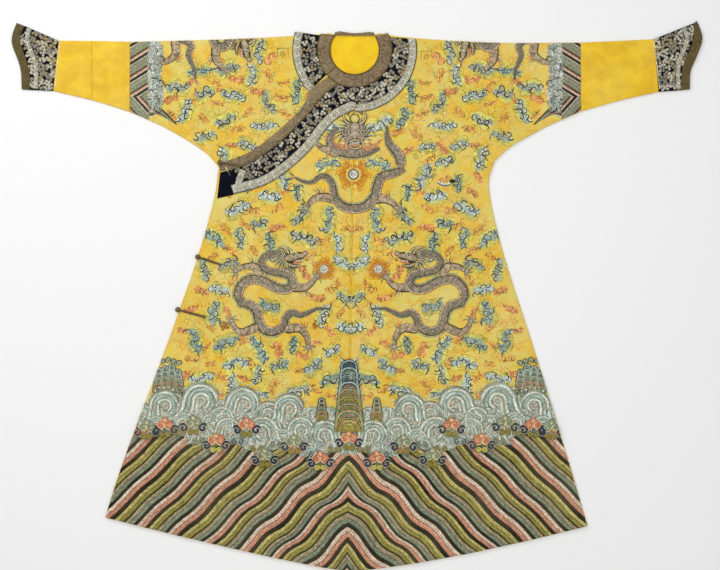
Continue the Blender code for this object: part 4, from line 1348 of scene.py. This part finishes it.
# cloud heads where the cords begin: distance from the seam, height, dye of the head and of the one below
cloudHeads = (
    (0.545, -0.352, "sage", "olive"), (0.496, -0.346, "coral", "olive"), (0.420, -0.340, "sage", "olive"),
    (0.358, -0.388, "coral", "lime"), (0.276, -0.346, "coral", "olive"), (0.226, -0.428, "sage", "olive"),
    (0.148, -0.392, "sage", "olive"), (0.076, -0.436, "coral", "lime"), (0.0, -0.382, "coral", "olive"),
)


def breaker(stamp, radius, lift=0.0, bands=4, foam=7):
    # a wave in nested cords: its back trails off on one side and its crest rolls in to a curl
    pitch = 0.96 / bands
    for k in range(bands):
        r = radius * (1 - pitch * k)
        back = [
            (r * 1.75 + radius * 0.12 * k, -radius * 0.95), (r * 1.3, -radius * 0.6),
            (r * 1.08, -radius * 0.28),
        ]
        sweep = 185 + 40 * k
        turns = np.radians(np.arange(0, sweep, 20))
        shrink = 1 - 0.05 * turns
        crest = np.stack([r * shrink * np.cos(turns), r * shrink * np.sin(turns)], 1)
        line = np.vstack([back, crest])
        light = ("iceWhite", "paleBlue", "iceWhite", "silver")[k % 4]
        columns = [
            (-1, "pewter"), (-0.75, "sage"), (-0.2, "greyGreen"), (0.3, light), (0.75, light),
            (1, "greyGreen"),
        ]
        width = radius * pitch * 1.15
        over = lift + 0.0002 * (bands - k)
        stamp.band(line, width, columns, rounded=False, rise=0.0016, lift=over, vary=0.05, mottle=0.26)
    for k in range(foam):  # foam thrown from the crest
        a = math.radians(40 + 160 * k / foam)
        reach = radius * (1.14 + 0.10 * (k % 2))
        place = (reach * math.cos(a), reach * math.sin(a))
        drop = ((0, "iceWhite"), (0.6, "iceWhite"), (1, "greyGreen"))
        stamp.disc(place, 3.4 - (k % 2), drop, sides=7, lift=lift + 0.0004)


def cloudHead(stamp, dye, lowDye):
    filled = ((0, dyeOf(dye) * 1.1), (0.7, dye), (0.85, "cream"), (1, "bronze"))
    lowFilled = ((0, lowDye), (0.8, lowDye), (1, "bronze"))
    for side in (-1, 1):
        stamp.disc((8 * side, -26), 8.5, lowFilled, rise=0.0008, lift=0.0058, sides=12)
        stamp.disc((11 * side, -3), 12.5, filled, rise=0.0010, lift=0.0064, sides=14)
        navyCurl = spiral((26 * side, -15), 12.5, 90 - 70 * side, 1.2 * side, 0.2)
        stamp.band(navyCurl, 9.4, plainBand("silver", "paleBlue"), rounded=False, rise=0.0006, lift=0.0062)
        stamp.band(navyCurl, 6.4, plainBand("navy"), rounded=False, rise=0.0008, lift=0.0068)
        low = spiral((8 * side, -27), 7.5, 90 + 30 * side, -1.0 * side, 0.2)
        stamp.band(low, 5.6, outlined("bronze", lowDye), rounded=False, rise=0.0010, lift=0.0070)
        top = spiral((10 * side, -1), 10.5, 90 + 20 * side, -1.1 * side, 0.2)
        core = dyeOf(dye)
        rim = [
            (-1, core * 0.45), (-0.75, core * 0.9), (-0.1, core * 1.1), (0.6, core), (0.75, "cream"),
            (1, "cream"),
        ]
        stamp.band(top, 8.2, rim, rounded=False, rise=0.0014, lift=0.0072)
    tip = ((0, dye), (0.4, "cream"), (0.5, dye), (0.85, dye), (1, "bronze"))
    stamp.disc((0, 11), 9, tip, lift=0.0072, sides=12)


def waterTone(count):
    # mottled pale water behind the breakers
    speck = np.random.default_rng(3).random(count)
    a, b = dyeOf("greyGreen") * 0.85, dyeOf("iceWhite")
    return a * (1 - speck)[:, None] + b * speck[:, None]


water = {
    "crest": (
        (0.0, 0.06, 0.13, 0.23, 0.33, 0.43, 0.52, 0.62),                    # from the centre seam
        (-0.318, -0.302, -0.292, -0.284, -0.276, -0.265, -0.276, -0.300),   # how high it stands there
    ),
    "smallRoom": (0.031, 0.020),     # what each little wave keeps across and up
    "smallRadius": (0.013, 0.018),
    "tries": 3000,
    "bubbles": 110,
    "bubbleRadius": 0.0027,
}


def crestLine(s):
    return float(np.interp(s, *water["crest"]))


def stitchWater():
    for side, name in ((-1, "breakers_right"), (1, "breakers_left")):
        work = Needlework(fieldGround)
        crest = [(v, crestLine(v) - 0.006) for v in np.linspace(0.002, 0.62, 18)]
        foot = [(v, float(waterLine(np.array(v))) - 0.006) for v in np.linspace(0.66, 0.002, 26)]
        outline = [fromSeam(side, v, y) for v, y in [*crest, *foot]]
        work.patch(outline, 0.010, waterTone, lift=0.0019, step=0.006)
        dice = np.random.default_rng(17)
        small = []  # little waves fill the water between the breakers
        across, up = water["smallRoom"]
        for _ in range(water["tries"]):
            s0 = dice.uniform(0.0, 0.60)
            y = dice.uniform(float(waterLine(np.array(s0))) + 0.012, crestLine(s0) - 0.012)
            if all(math.hypot((s0 - other[0]) / across, (y - other[1]) / up) > 1 for other in small):
                small.append((s0, y, dice.uniform(*water["smallRadius"]), 1 if dice.random() < 0.6 else -1))
        rows = [(*row, 3, 2) for row in small] + [(*row, 4, 11) for row in breakers]
        order = sorted(rows, key=lambda row: (row[4], -row[1]))
        for n, (s0, y, radius, lean, bands, foam) in enumerate(order):
            stamp = Stamp(work, fromSeam(side, s0, y), turn=dice.uniform(-22, 8), flip=side * lean)
            breaker(stamp, radius * 1000, 0.0014 + 0.00002 * n, bands, foam)
        work.sewDown(name, materials["floss"], "figured_silk")

    work = Needlework(fieldGround)
    for side in (-1, 1):
        for s0, y, dye, lowDye in cloudHeads:
            if s0 == 0 and side > 0:
                continue
            cloudHead(Stamp(work, fromSeam(side, s0, y), flip=side), dye, lowDye)
    # smaller curls fill the line between the heads
    for side in (-1, 1):
        for k, s0 in enumerate(np.arange(0.04, 0.62, 0.052)):
            y = float(waterLine(np.array(s0))) + 0.004
            stamp = Stamp(work, fromSeam(side, s0, y), flip=side)
            dye = ("olive", "navy", "coral", "sage")[k % 4]
            columns = outlined("paleBlue" if dye == "navy" else "bronze", dye)
            for hand in (-1, 1):
                curl = spiral((8 * hand, 0), 8.5, 90 + 20 * hand, -1.1 * hand, 0.2)
                stamp.band(curl, 5.6, columns, rounded=False, rise=0.0010, lift=0.0062)
    # coral and pink bubbles between the breakers
    dice = np.random.default_rng(21)
    for _ in range(water["bubbles"]):
        s0, y = dice.uniform(0.05, 0.58), dice.uniform(-0.40, -0.285)
        if y < waterLine(np.array(s0)) + 0.012:
            continue
        dye = ("coral", "pink", "iceWhite", "orange")[int(dice.integers(4))]
        rings = ((0, dye), (0.6, dye), (1, "silver"))
        for side in (-1, 1):
            work.disc(
                fromSeam(side, s0, y), water["bubbleRadius"], rings, rise=0.0012, lift=0.0050, sides=7
            )
    work.sewDown("cloud_heads", materials["floss"], "figured_silk")


def peak(stamp, height, base, arches, dyes, topShare=0.3, over=0.0010):
    # a mountain of nested arches, highest first, each lapping over the one behind
    for k in range(arches):
        t = (k + 0.6) / arches
        half = base / 2 * (topShare + (1 - topShare) * t)
        top = height * (1 - t * 0.86)
        foot = max(0, top - height * 0.34)
        dye = dyes[min(int(t * len(dyes)), len(dyes) - 1)]
        high = t < 0.45
        flank, shoulder = (half * 0.97, top - half * 0.8), (half * 0.6, top - half * 0.16)
        arch = [
            (-half, foot), (-flank[0], flank[1]), (-shoulder[0], shoulder[1]), (0, top),
            shoulder, flank, (half, foot),
        ]
        inner = np.array(arch) * (0.62, 1) - (0, half * 0.30)
        core = [(0, foot), (0, top - half * 0.45)]
        lift = over + 0.0002 * k
        stamp.band(core, half * 1.7, plainBand(dye), step=5, rise=0.0002, lift=lift - 0.0002, ends="none")
        rim = outlined("navy" if high else "dark", dye, "paleBlue" if high else "beige")
        stamp.band(arch, 8, rim, rise=0.0008, lift=lift)
        innerDyes = outlined("dark", "coral" if k % 4 == 3 else dye)
        stamp.band(inner, 4, innerDyes, rise=0.0006, lift=lift + 0.0001)


# each peak's height and base are in millimetres, and its place from the seam and up in metres
rocks = {
    "foot": -0.366,
    "tall": (203, 78, 9),            # height, base and arches of the peak on the centre seam
    "tallDyes": ("teal", "greyGreen", "teal", "sage", "olive", "sage", "paleOlive", "olive"),
    "spikes": 9,
    "small": (66, 32, 5),
    "smallPlace": (0.074, -0.336),
    "sideBase": 34,
    "sidePeaks": ((-26, 70), (26, 74), (-9, 86), (9, 80)),   # across in millimetres, and height
    "sidePlace": (0.488, -0.262),
}


def stitchPeaks():
    work = Needlework(fieldGround)
    foot = rocks["foot"]
    middle = Stamp(work, (float(centreX(foot)), foot))
    for k in range(rocks["spikes"]):  # down both sides of the top
        for side in (-1, 1):
            y = 198 - 14 * k
            reach = 17 + 1.8 * k
            spike = [(reach * 0.3 * side, y - 12), (reach * side, y - 5), ((reach + 8) * side, y + 7)]
            dyes = shaded("teal", "paleBlue", "iceWhite")
            middle.band(spike, 11, dyes, rise=0.0008, lift=0.0030, ends="tail")
    peak(middle, *rocks["tall"], rocks["tallDyes"], 0.48, 0.0045)
    for side in (-1, 1):
        s, y = rocks["smallPlace"]
        at = (float(centreX(-0.33)) + side * s, y)
        peak(Stamp(work, at, flip=side), *rocks["small"], ("bronze", "sage", "olive"), over=0.0042)
        # the side peaks stand against the side seams
        s, y = rocks["sidePlace"]
        for x, height in rocks["sidePeaks"]:
            at = (float(centreX(-0.27)) + side * (s + 0.001 * x), y)
            peak(Stamp(work, at, flip=side), height, rocks["sideBase"], 5, ("sage", "greyGreen", "sage"))
        for k in range(5):
            at = (float(centreX(-0.27)) + side * (0.458 + 0.015 * k), -0.172 - 0.004 * abs(k - 2))
            cap, curl = Stamp(work, at, flip=side), spiral((0, 0), 8, -90, 1.1)
            dyes = shaded("dark", "sage", "paleBlue")
            cap.band(curl, 5, dyes, rounded=False, rise=0.0008, lift=0.0022)
    work.sewDown("peaks", materials["floss"], "figured_silk")


stitchWater()
stitchPeaks()
print("water and peaks sewn")

# clouds, bats and vines are scattered over the field, alike on both sides of the centre seam
# places the scatter keeps clear of, as (distance from the seam, height, radius)
kept = [
    (0.0, 0.43, 0.078), (0.0, 0.328, 0.066), (0.0, 0.245, 0.055), (0.10, 0.40, 0.045), (0.12, 0.345, 0.045),
    (0.09, 0.29, 0.045), (0.15, 0.325, 0.030), (0.06, 0.26, 0.045), (0.115, 0.255, 0.035),
    (0.070, 0.073, 0.045), (0.160, 0.100, 0.050), (0.235, 0.085, 0.045), (0.275, 0.060, 0.038),
    (0.220, 0.050, 0.045), (0.300, 0.000, 0.040), (0.235, 0.020, 0.045), (0.160, 0.020, 0.045),
    (0.105, 0.035, 0.030), (0.270, -0.040, 0.040), (0.245, -0.090, 0.050), (0.190, -0.095, 0.045),
    (0.160, -0.050, 0.040), (0.110, -0.040, 0.030), (0.315, -0.085, 0.035), (0.125, -0.110, 0.035),
    (0.0, -0.20, 0.040), (0.0, -0.26, 0.050), (0.300, 0.350, 0.045), (0.470, 0.680, 0.050),
    (0.470, 0.620, 0.045), (0.320, 0.680, 0.055), (0.400, 0.660, 0.030), (0.385, 0.620, 0.025),
]
scatterSizes = {
    "clouds": (0.068, 0.054),    # room each keeps across and up
    "bats": (0.050, 0.040),
    "vines": (0.032, 0.036),
    "sprigs": 420,
    "across": (0.012, 0.545),
    "up": (-0.272, 0.682),
    "tries": 6000,
}


def scatter(room, others, dice):
    # places at least their room apart, and clear of the dragons and of the others
    found = []
    across, up = room
    for _ in range(scatterSizes["tries"]):
        s, y = dice.uniform(*scatterSizes["across"]), dice.uniform(*scatterSizes["up"])
        if any(math.hypot(s - a, y - b) < r * 0.82 + across * 0.16 for a, b, r in kept):
            continue
        if any(math.hypot((s - a) / across, (y - b) / up) < 1 for a, b in found):
            continue
        if any(math.hypot(s - a, y - b) < reach for a, b, reach in others):
            continue
        found.append((s, y))
    return found


def stitchField():
    dice = np.random.default_rng(41)
    cloudPlaces = scatter(scatterSizes["clouds"], [], dice)
    taken = [(s, y, 0.036) for s, y in cloudPlaces]
    batPlaces = scatter(scatterSizes["bats"], taken, dice)
    taken = [(s, y, 0.024) for s, y in cloudPlaces] + [(s, y, 0.026) for s, y in batPlaces]
    vinePlaces = scatter(scatterSizes["vines"], taken, dice)
    print(len(cloudPlaces), "clouds,", len(batPlaces), "bats and", len(vinePlaces), "vines on each side")

    def onField(x, y):
        # under the trim and along the plain underarm edge nothing is worked
        clear = math.hypot(x - robe["neck"][0], y - robe["neck"][1]) > robe["collarRadius"] + 0.002
        clear = clear and robe["sleeveSeamRight"] + 0.105 < x < robe["sleeveSeamLeft"] - 0.105
        return clear and clothUnder(fieldGround, x, y, ((0.024, 0), (-0.024, 0), (0, 0.020), (0, -0.022)))

    for side, name in ((-1, "right"), (1, "left")):
        clouds, bats = Needlework(fieldGround), Needlework(fieldGround)
        for n, (s, y) in enumerate(cloudPlaces):
            at = fromSeam(side, s, y)
            draw = np.random.default_rng(n)
            if onField(*at):
                stamp = Stamp(clouds, at, size=draw.uniform(0.95, 1.2), flip=side)
                cloud(stamp, cloudDyes[n % len(cloudDyes)], draw)
        for n, (s, y) in enumerate(batPlaces):
            at = fromSeam(side, s, y)
            draw = np.random.default_rng(n + 500)
            if onField(*at):
                stamp = Stamp(bats, at, turn=draw.uniform(-60, 60), size=draw.uniform(0.8, 1.15), flip=side)
                bat(stamp, draw)
        for n, (s, y) in enumerate(vinePlaces):
            at = fromSeam(side, s, y)
            draw = np.random.default_rng(n + 900)
            dye = ("amber", "russet", "olive", "bronze", "amber")[n % 5]
            if onField(*at):
                stamp = Stamp(bats, at, turn=draw.uniform(-70, 70), size=draw.uniform(0.8, 1.1), flip=side)
                vine(stamp, dye, draw)
        draw = np.random.default_rng(77)
        for _ in range(scatterSizes["sprigs"]):
            s, y = draw.uniform(0.01, 0.54), draw.uniform(-0.28, 0.69)
            dye = ("amber", "lime", "sage", "lime", "greyGreen", "cream", "peach")[int(draw.integers(7))]
            turn = draw.uniform(0, 360)
            at = fromSeam(side, s, y)
            if onField(*at):
                sprig(Stamp(bats, at, turn=turn, flip=side), dye)
        clouds.sewDown("clouds_" + name, materials["floss"], "figured_silk")
        bats.sewDown("bats_and_vines_" + name, materials["floss"], "figured_silk")


stitchField()
print("field sewn")

# the collar, the overlap's facing and the cuffs have grey cloud knots packed on navy, and a roped silver edge
trimWork = {
    "edge": [(-0.0090, 0.5010), (-0.0650, 0.4682), (-0.1404, 0.3780), (-0.2350, 0.3050), (-0.3321, 0.2740)],
    "seam": [
        (-0.0513, 0.5737), (-0.0945, 0.5373), (-0.1269, 0.4968), (-0.2060, 0.4170), (-0.2950, 0.3560),
        (-0.3150, 0.3480),
    ],
    "knotsApart": 0.0118,
    "knotTries": 9000,
    "ropeRadius": 0.1563,
    "collarRope": 0.0226,            # the widths of the rope edges
    "overlapRope": 0.0270,
    "endRope": 0.0200,
    "cuffRope": 0.0125,
}


def neckArc(radius, start, end, step=0.005):
    count = max(3, int(abs(math.radians(end - start)) * radius / step))
    a = np.radians(np.linspace(start, end, count))
    return np.stack([robe["neck"][0] + radius * np.cos(a), robe["neck"][1] + radius * np.sin(a)], 1)


def cloudKnot(work, at, size, turn, dice):
    # three rounded lobes round a dark curl
    core = dyeOf(("silver", "pewter", "silver", "pewter", "taupe")[int(dice.integers(5))])
    stamp = Stamp(work, at, turn=turn, size=size)
    rings = ((0, core * 1.1), (0.5, core), (0.84, core * 0.7), (1, "ink"))
    for x, y, radius in ((-5.0, -1.5, 5.2), (5.0, -1.5, 5.2), (0, 4.5, 5.6)):
        stamp.disc((x, y), radius * dice.uniform(0.85, 1.15), rings, rise=0.0011, lift=0.0001, sides=9)
    curl = spiral((0, 0), 3.6, 90, 0.8, 0.3, count=6)
    stamp.band(curl, 1.6, plainBand("dark"), rounded=False, rise=0.0003, lift=0.0012)


def ropeEdge(work, line, width, outerSign):
    # outerSign is +1 where the cloth's edge is to the left of the line
    columns = [
        (-1, "dark"), (-0.86, "pewter"), (-0.5, "silver"), (-0.1, "taupe"), (0.3, "silver"),
        (0.78, "silver"), (0.88, "ink"), (1, "ink"),
    ]
    if outerSign < 0:
        columns = [(-p, dye) for p, dye in reversed(columns)]
    work.band(line, width, columns, rise=0.0012, lift=0.0003, ends="none", vary=0, mottle=0.18)
    even = flow(line, 0.0075)
    ahead, aside = directions(even)
    aside = aside * outerSign
    for k in range(1, len(even) - 1):
        p, t, n = even[k], ahead[k], aside[k]
        curl = [
            p - n * width * 0.42 - t * 0.003, p - n * width * 0.1 + t * 0.003,
            p + n * width * 0.22 + t * 0.002, p + n * width * 0.30 - t * 0.004,
        ]
        dye = ("iceWhite", "silver", "paleBlue")[k % 3]
        strand = [(-1, "pewter"), (-0.2, dye), (0.5, dye), (1, "dark")]
        work.band(flow(curl, 0.003), 0.0042, strand, rise=0.0008, lift=0.0013, ends="point")


def packKnots(work, low, high, allowed, dice):
    # knots packed at random wherever the cloth and the rule allow
    spots = []
    apart = trimWork["knotsApart"]
    for _ in range(trimWork["knotTries"]):
        x, y = dice.uniform(low[0], high[0]), dice.uniform(low[1], high[1])
        if not allowed(x, y) or any(math.hypot(x - a, y - b) < apart for a, b in spots):
            continue
        if not clothUnder(work.ground, x, y, ((0.004, 0), (-0.004, 0), (0, 0.004), (0, -0.004))):
            continue
        spots.append((x, y))
        cloudKnot(work, (x, y), dice.uniform(0.8, 1.05), dice.uniform(0, 360), dice)


def stitchTrim():
    work = Needlework(trimGround)
    dice = np.random.default_rng(12)
    edge = flow(trimWork["edge"], 0.005)
    rope = np.vstack([(-0.0068, 0.5094), edge - directions(edge)[1] * 0.0138])

    def offTheRope(x, y):
        # between the brown band and the rope, round the neck and down the overlap
        reach = math.hypot(x - robe["neck"][0], y - robe["neck"][1])
        onOverlap = x < robe["neck"][0] - 0.002 and y < 0.585
        if onOverlap:
            gap = np.hypot(edge[:, 0] - x, edge[:, 1] - y).min()
            return gap > 0.031 and reach > 0.106 and x > -0.318 - 0.18 * (y - 0.29)
        return 0.106 < reach < 0.143

    packKnots(work, (-0.34, 0.26), (0.17, 0.72), offTheRope, dice)
    for start, end in ((270, 388), (152, 223)):
        ropeEdge(work, neckArc(trimWork["ropeRadius"], start, end), trimWork["collarRope"], -1)
    ropeEdge(work, rope, trimWork["overlapRope"], -1)
    # the rope turns up where the facing meets the plain navy end piece
    turned = flow([(-0.3240, 0.2850), (-0.3190, 0.3050), (-0.3080, 0.3400)], 0.005)
    ropeEdge(work, turned, trimWork["endRope"], 1)
    work.sewDown("collar_clouds", materials["floss"], "navy_satin")

    work = Needlework(cuffGround)
    for side in (-1, 1):
        xs = sorted((side * 0.806, side * 0.915))
        packKnots(work, (xs[0], 0.548), (xs[1], 0.738), lambda x, y: True, dice)
        mouth = [(0.880, 0.730), (0.890, 0.690), (0.872, 0.640), (0.866, 0.600), (0.868, 0.560)]
        ropeEdge(work, flow([(side * x, y) for x, y in mouth], 0.005), trimWork["cuffRope"], side)
    work.sewDown("cuff_clouds", materials["floss"], "navy_satin")


stitchTrim()
print("collar and cuffs sewn")

# borders worked beside the sleeve seams: cords, foam beyond them and a wedge along the underarm
sleeveBorder = {
    "width": 0.052,
    "slope": 0.62,
    "lowSlope": -1.1,
    "cord": 0.0040,
    "turn": 0.5380,          # where the cords turn from falling to rising
    "cords": (
        "ink", "ink", "blush", "dustyCoral", "ink", "sage", "beige", "sage", "greyGreen", "beige", "sage",
        "silver",
    ),
    "wedge": ("dark", "sage", "pewter", "greyGreen", "dark", "sage", "coral", "pewter", "dark"),
    "curls": 34,
}


def stitchSleeveBorders():
    work = Needlework(fieldGround)
    b = sleeveBorder
    seams = {-1: robe["sleeveSeamRight"], 1: robe["sleeveSeamLeft"]}

    def aboveTurn(x, y):
        return y > b["turn"] - 0.002

    def belowTurn(x, y):
        return y <= b["turn"] + 0.002

    for side, seam in seams.items():
        for lower in (False, True):
            slope = b["lowSlope"] if lower else b["slope"]
            first, last = (0.490, 0.600) if lower else (0.480, 0.700)
            for k, y0 in enumerate(np.arange(first, last, b["cord"] * (1.25 if lower else 1.0))):
                core = dyeOf(b["cords"][k % len(b["cords"])])
                d = np.linspace(0.0008, b["width"], 26)
                line = np.stack([seam - side * d, y0 + slope * d], 1)
                if side > 0:
                    line = line[::-1]
                # painted shade darkens each cord along its edges, between the cords, and a painted highlight
                # lightens its middle
                shades = [(-1, core * 0.5), (0, core * 1.1), (1, core * 0.5)]
                keep = belowTurn if lower else aboveTurn
                work.band(line, b["cord"] * 1.1, shades, rise=0.0010, ends="none", keep=keep)
        # foam beyond the cords, a pale ground with curls of several sizes on it
        outline = [
            (0.048, 0.690), (0.082, 0.690), (0.092, 0.640), (0.084, 0.590), (0.094, 0.550), (0.080, 0.500),
            (0.050, 0.498),
        ]
        work.patch([(seam - side * d, y) for d, y in outline], 0.008, waterTone, lift=0.0012)
        dice = np.random.default_rng(33)
        for k in range(b["curls"]):
            y = 0.684 - 0.0056 * k
            at = (seam - side * (0.060 + 0.010 * (k % 3) + dice.uniform(-0.003, 0.006)), y)
            stamp = Stamp(work, at, turn=dice.uniform(0, 360), flip=-side)
            radius = dice.uniform(5, 10)
            light = ("iceWhite", "paleBlue", "silver")[k % 3]
            curl = spiral((0, 0), radius, 0, 1.1, 0.25, count=14)
            dyes = shaded("teal", light, light)
            stamp.band(curl, radius * 0.5, dyes, rounded=False, rise=0.0010, lift=0.0014)
            if k % 4 == 0:
                hook = hookLine(0, 0, radius + 2, 200, 150, 6)
                stamp.band(hook, 2.4, plainBand("navy"), rounded=False, rise=0.0005, lift=0.0022)
        # the wedge that tapers off along the underarm, in long parallel cords
        for k, dye in enumerate(b["wedge"]):
            far = 0.128 - 0.0062 * k
            d = np.array([0.050, 0.050 * 0.5 + far * 0.5, far])
            y = 0.533 - 0.0056 * k - np.array([0.0, 0.43, 0.92]) * (far - 0.050)
            tip = np.stack([seam - side * d, y + 0.004 * k * np.array([0, 0.5, 1])], 1)
            # painted shade darkens each cord's edges, between the cords
            shades = plainBand(dyeOf(dye) * 0.6, dye)
            work.band(flow(tip, 0.006), (0.0062, 0.0060, 0.0036), shades, rise=0.0010, lift=0.0006)
    work.sewDown("sleeve_borders", materials["floss"], "figured_silk")


stitchSleeveBorders()
print("sleeve borders sewn")

# cords laid over the seams, and the small things worked or left on the robe
trimSeams = {
    "piping": 0.0034,                # width of the dark cord beside each binding
    "openingCordAndShadow": 0.0036,
    # the dark cord just outside the neck opening is partly a dark roll at the edge and partly painted shadow
    # along that edge
    "innerRadius": robe["neckRadius"] + 0.0016,
    "crescent": (0.2376, 0.3078),
    "tokens": ((0.160, 0.375), (-0.200, 0.652), (0.188, 0.644)),  # a square frame round a curl
    "stains": ((-0.356, -0.081), (-0.108, -0.076)),
    "looseThreads": (-0.355, 0.338),
    "patchSeam": -0.7155,            # a seam across the right sleeve's plain end
}


def stitchSeams():
    everyGround = groundOf([name for name in shells if name != "back_neck_lining"])
    work = Needlework(everyGround)
    width = trimSeams["piping"]
    piped = (
        (neckArc(robe["bandRadius"], 224, 387), width),
        (neckArc(robe["bandRadius"], 153, 223), width),
        # round the neck opening: a dark roll, its darkness partly painted shadow at the edge
        (neckArc(trimSeams["innerRadius"], 143, 396), trimSeams["openingCordAndShadow"]),
        (flow(trimWork["seam"], 0.005), width),
    )
    for line, across in piped:
        work.band(line, across, plainBand("dark", "bronze"), rise=0.0006, lift=0.0001, ends="none")
    centre = [fromSeam(1, 0, y) for y in np.arange(0.500, 0.566, 0.004)]
    work.band(centre, 0.0044, plainBand("ink"), rise=0.0005, lift=0.0002, ends="none")
    lower = [fromSeam(1, 0, y) for y in np.arange(-0.166, 0.380, 0.006)]
    pale = plainBand(dyeOf("gold") * 1.25)
    work.band(lower, 0.0036, pale, rise=0.0001, lift=0.0001, ends="none", vary=0, mottle=0.2)
    stamp = Stamp(work, trimSeams["crescent"])
    moon = [(-22, 2), (-10, -6), (6, -8), (16, -2)]
    stamp.band(moon, 9, shaded("teal", "paleBlue", "iceWhite"), rise=0.0008)
    stamp.disc((20, 2), 9, ((0, "ink"), (0.8, "ink"), (1, "dark")), squash=0.6, lift=0.0008, sides=10)
    for place in trimSeams["tokens"]:
        stamp = Stamp(work, place)
        frameLine = [(-15, -16), (-15, 16), (14, 17), (15, -16)]
        stamp.band(frameLine, 3.0, plainBand("bronze", "olive"), rounded=False, rise=0.0005)
        stamp.band(spiral((0, 1), 9, 60, 1.4, 0.2), 2.6, plainBand("olive"), rounded=False, rise=0.0005)
    soil = dyeOf("amber") * 0.45
    rings = ((0, soil), (0.7, soil * 1.4), (1, "gold"))
    for place in trimSeams["stains"]:  # rust-brown soil, in overlapping spots
        stamp = Stamp(work, place)
        for k in range(9):
            a = k * 2.4
            spot = (2.3 * k * math.cos(a) * 0.8, 2.3 * k * math.sin(a) * 0.6)
            stamp.disc(spot, 8 - 0.5 * k, rings, rise=0.0001, lift=0.0001 + 0.00005 * k, sides=9)
    # loose ends of thread by the underarm loop
    stamp = Stamp(work, trimSeams["looseThreads"])
    threads = (([(0, 10), (4, 2), (10, -6), (14, -14)], 1.8), ([(0, 10), (7, 4), (12, 3), (18, -3)], 1.6))
    for line, across in threads:
        stamp.band(line, across, plainBand("cream"), rise=0.0006, lift=0.0004, ends="tail")
    # seams on the plain sleeves
    for side in (-1, 1):
        cuff = [(side * (0.8015 + 0.0150 * t), 0.688 - 0.132 * t) for t in np.linspace(0.02, 0.98, 14)]
        work.band(cuff, 0.0026, plainBand("cream", "cream"), rise=0.0004, lift=0.0002, ends="none")
    patched = [(trimSeams["patchSeam"], y) for y in np.linspace(0.534, 0.686, 14)]
    work.band(patched, 0.0022, plainBand("amber", "gold"), rise=0.0003, lift=0.0001, ends="none")
    work.sewDown("seam_cords", materials["floss"], "figured_silk")


stitchSeams()
print("seams covered")

# loops and knobs keep their solids, dressed as cord
for node in ("underarm_loop", "waist_loop", "hip_loop", "underarm_knob", "waist_knob", "hip_knob"):
    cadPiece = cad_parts[node]
    cadPiece.data.materials.clear()
    cadPiece.data.materials.append(materials["brownCord"])
print("loops and knobs dressed")

# floor, light and camera
studio = {
    "floorSize": 6,
    "floorDrop": 0.0006,
    "aim": (0, 0, 0),                # what both lamps face
    "overhead": {"place": (0, 0, 2.6), "size": 4.0, "power": 38.0},
    "side": {"place": (-1.9, 2.3, 1.9), "size": 1.2, "power": 34.0},
    "worldGrey": 0.50,
}
floorMesh = bpy.data.meshes.new("floor")
bm = bmesh.new()
bmesh.ops.create_grid(bm, x_segments=2, y_segments=2, size=studio["floorSize"])
bm.to_mesh(floorMesh)
bm.free()
floor = linkObject("floor", floorMesh)
floor.location.z = -studio["floorDrop"]
paper, paperTree, paperShader, paperPlace = startMaterial("paleFloor", 0.9)
paperGrain = noiseNode(paperTree, paperPlace, 40.0, 3.0)
paperTree.links.new(
    mixColour(
        paperTree, paperGrain, (0.93, 0.93, 0.93), (0.95, 0.95, 0.95)
    ), paperShader.inputs["Base Color"]
)
floorMesh.materials.append(paper)


for name in ("overhead", "side"):
    lampWork = studio[name]
    lamp = bpy.data.lights.new(name, "AREA")
    lamp.shape = "SQUARE"
    lamp.size = lampWork["size"]
    lamp.energy = lampWork["power"]
    lampObject = linkObject(name, lamp)
    lampObject.location = lampWork["place"]
    aim = Vector(studio["aim"]) - Vector(lampWork["place"])
    lampObject.rotation_euler = aim.to_track_quat("-Z", "Y").to_euler()
world = bpy.data.worlds.new("studio")
bpy.context.scene.world = world
world.use_nodes = True
background = world.node_tree.nodes["Background"]
background.inputs["Color"].default_value = (1, 1, 1, 1)
background.inputs["Strength"].default_value = studio["worldGrey"]

lens = {"length": 85.0, "sensor": 36.0, "frameWidth": 1.944, "aim": (0.0081, 0.0297)}
cameraData = bpy.data.cameras.new("camera")
cameraData.lens = lens["length"]
cameraData.sensor_width = lens["sensor"]
camera = linkObject("camera", cameraData)
camera.location = (*lens["aim"], lens["frameWidth"] * lens["length"] / lens["sensor"])
bpy.context.scene.camera = camera
print("floor, lights and camera set")
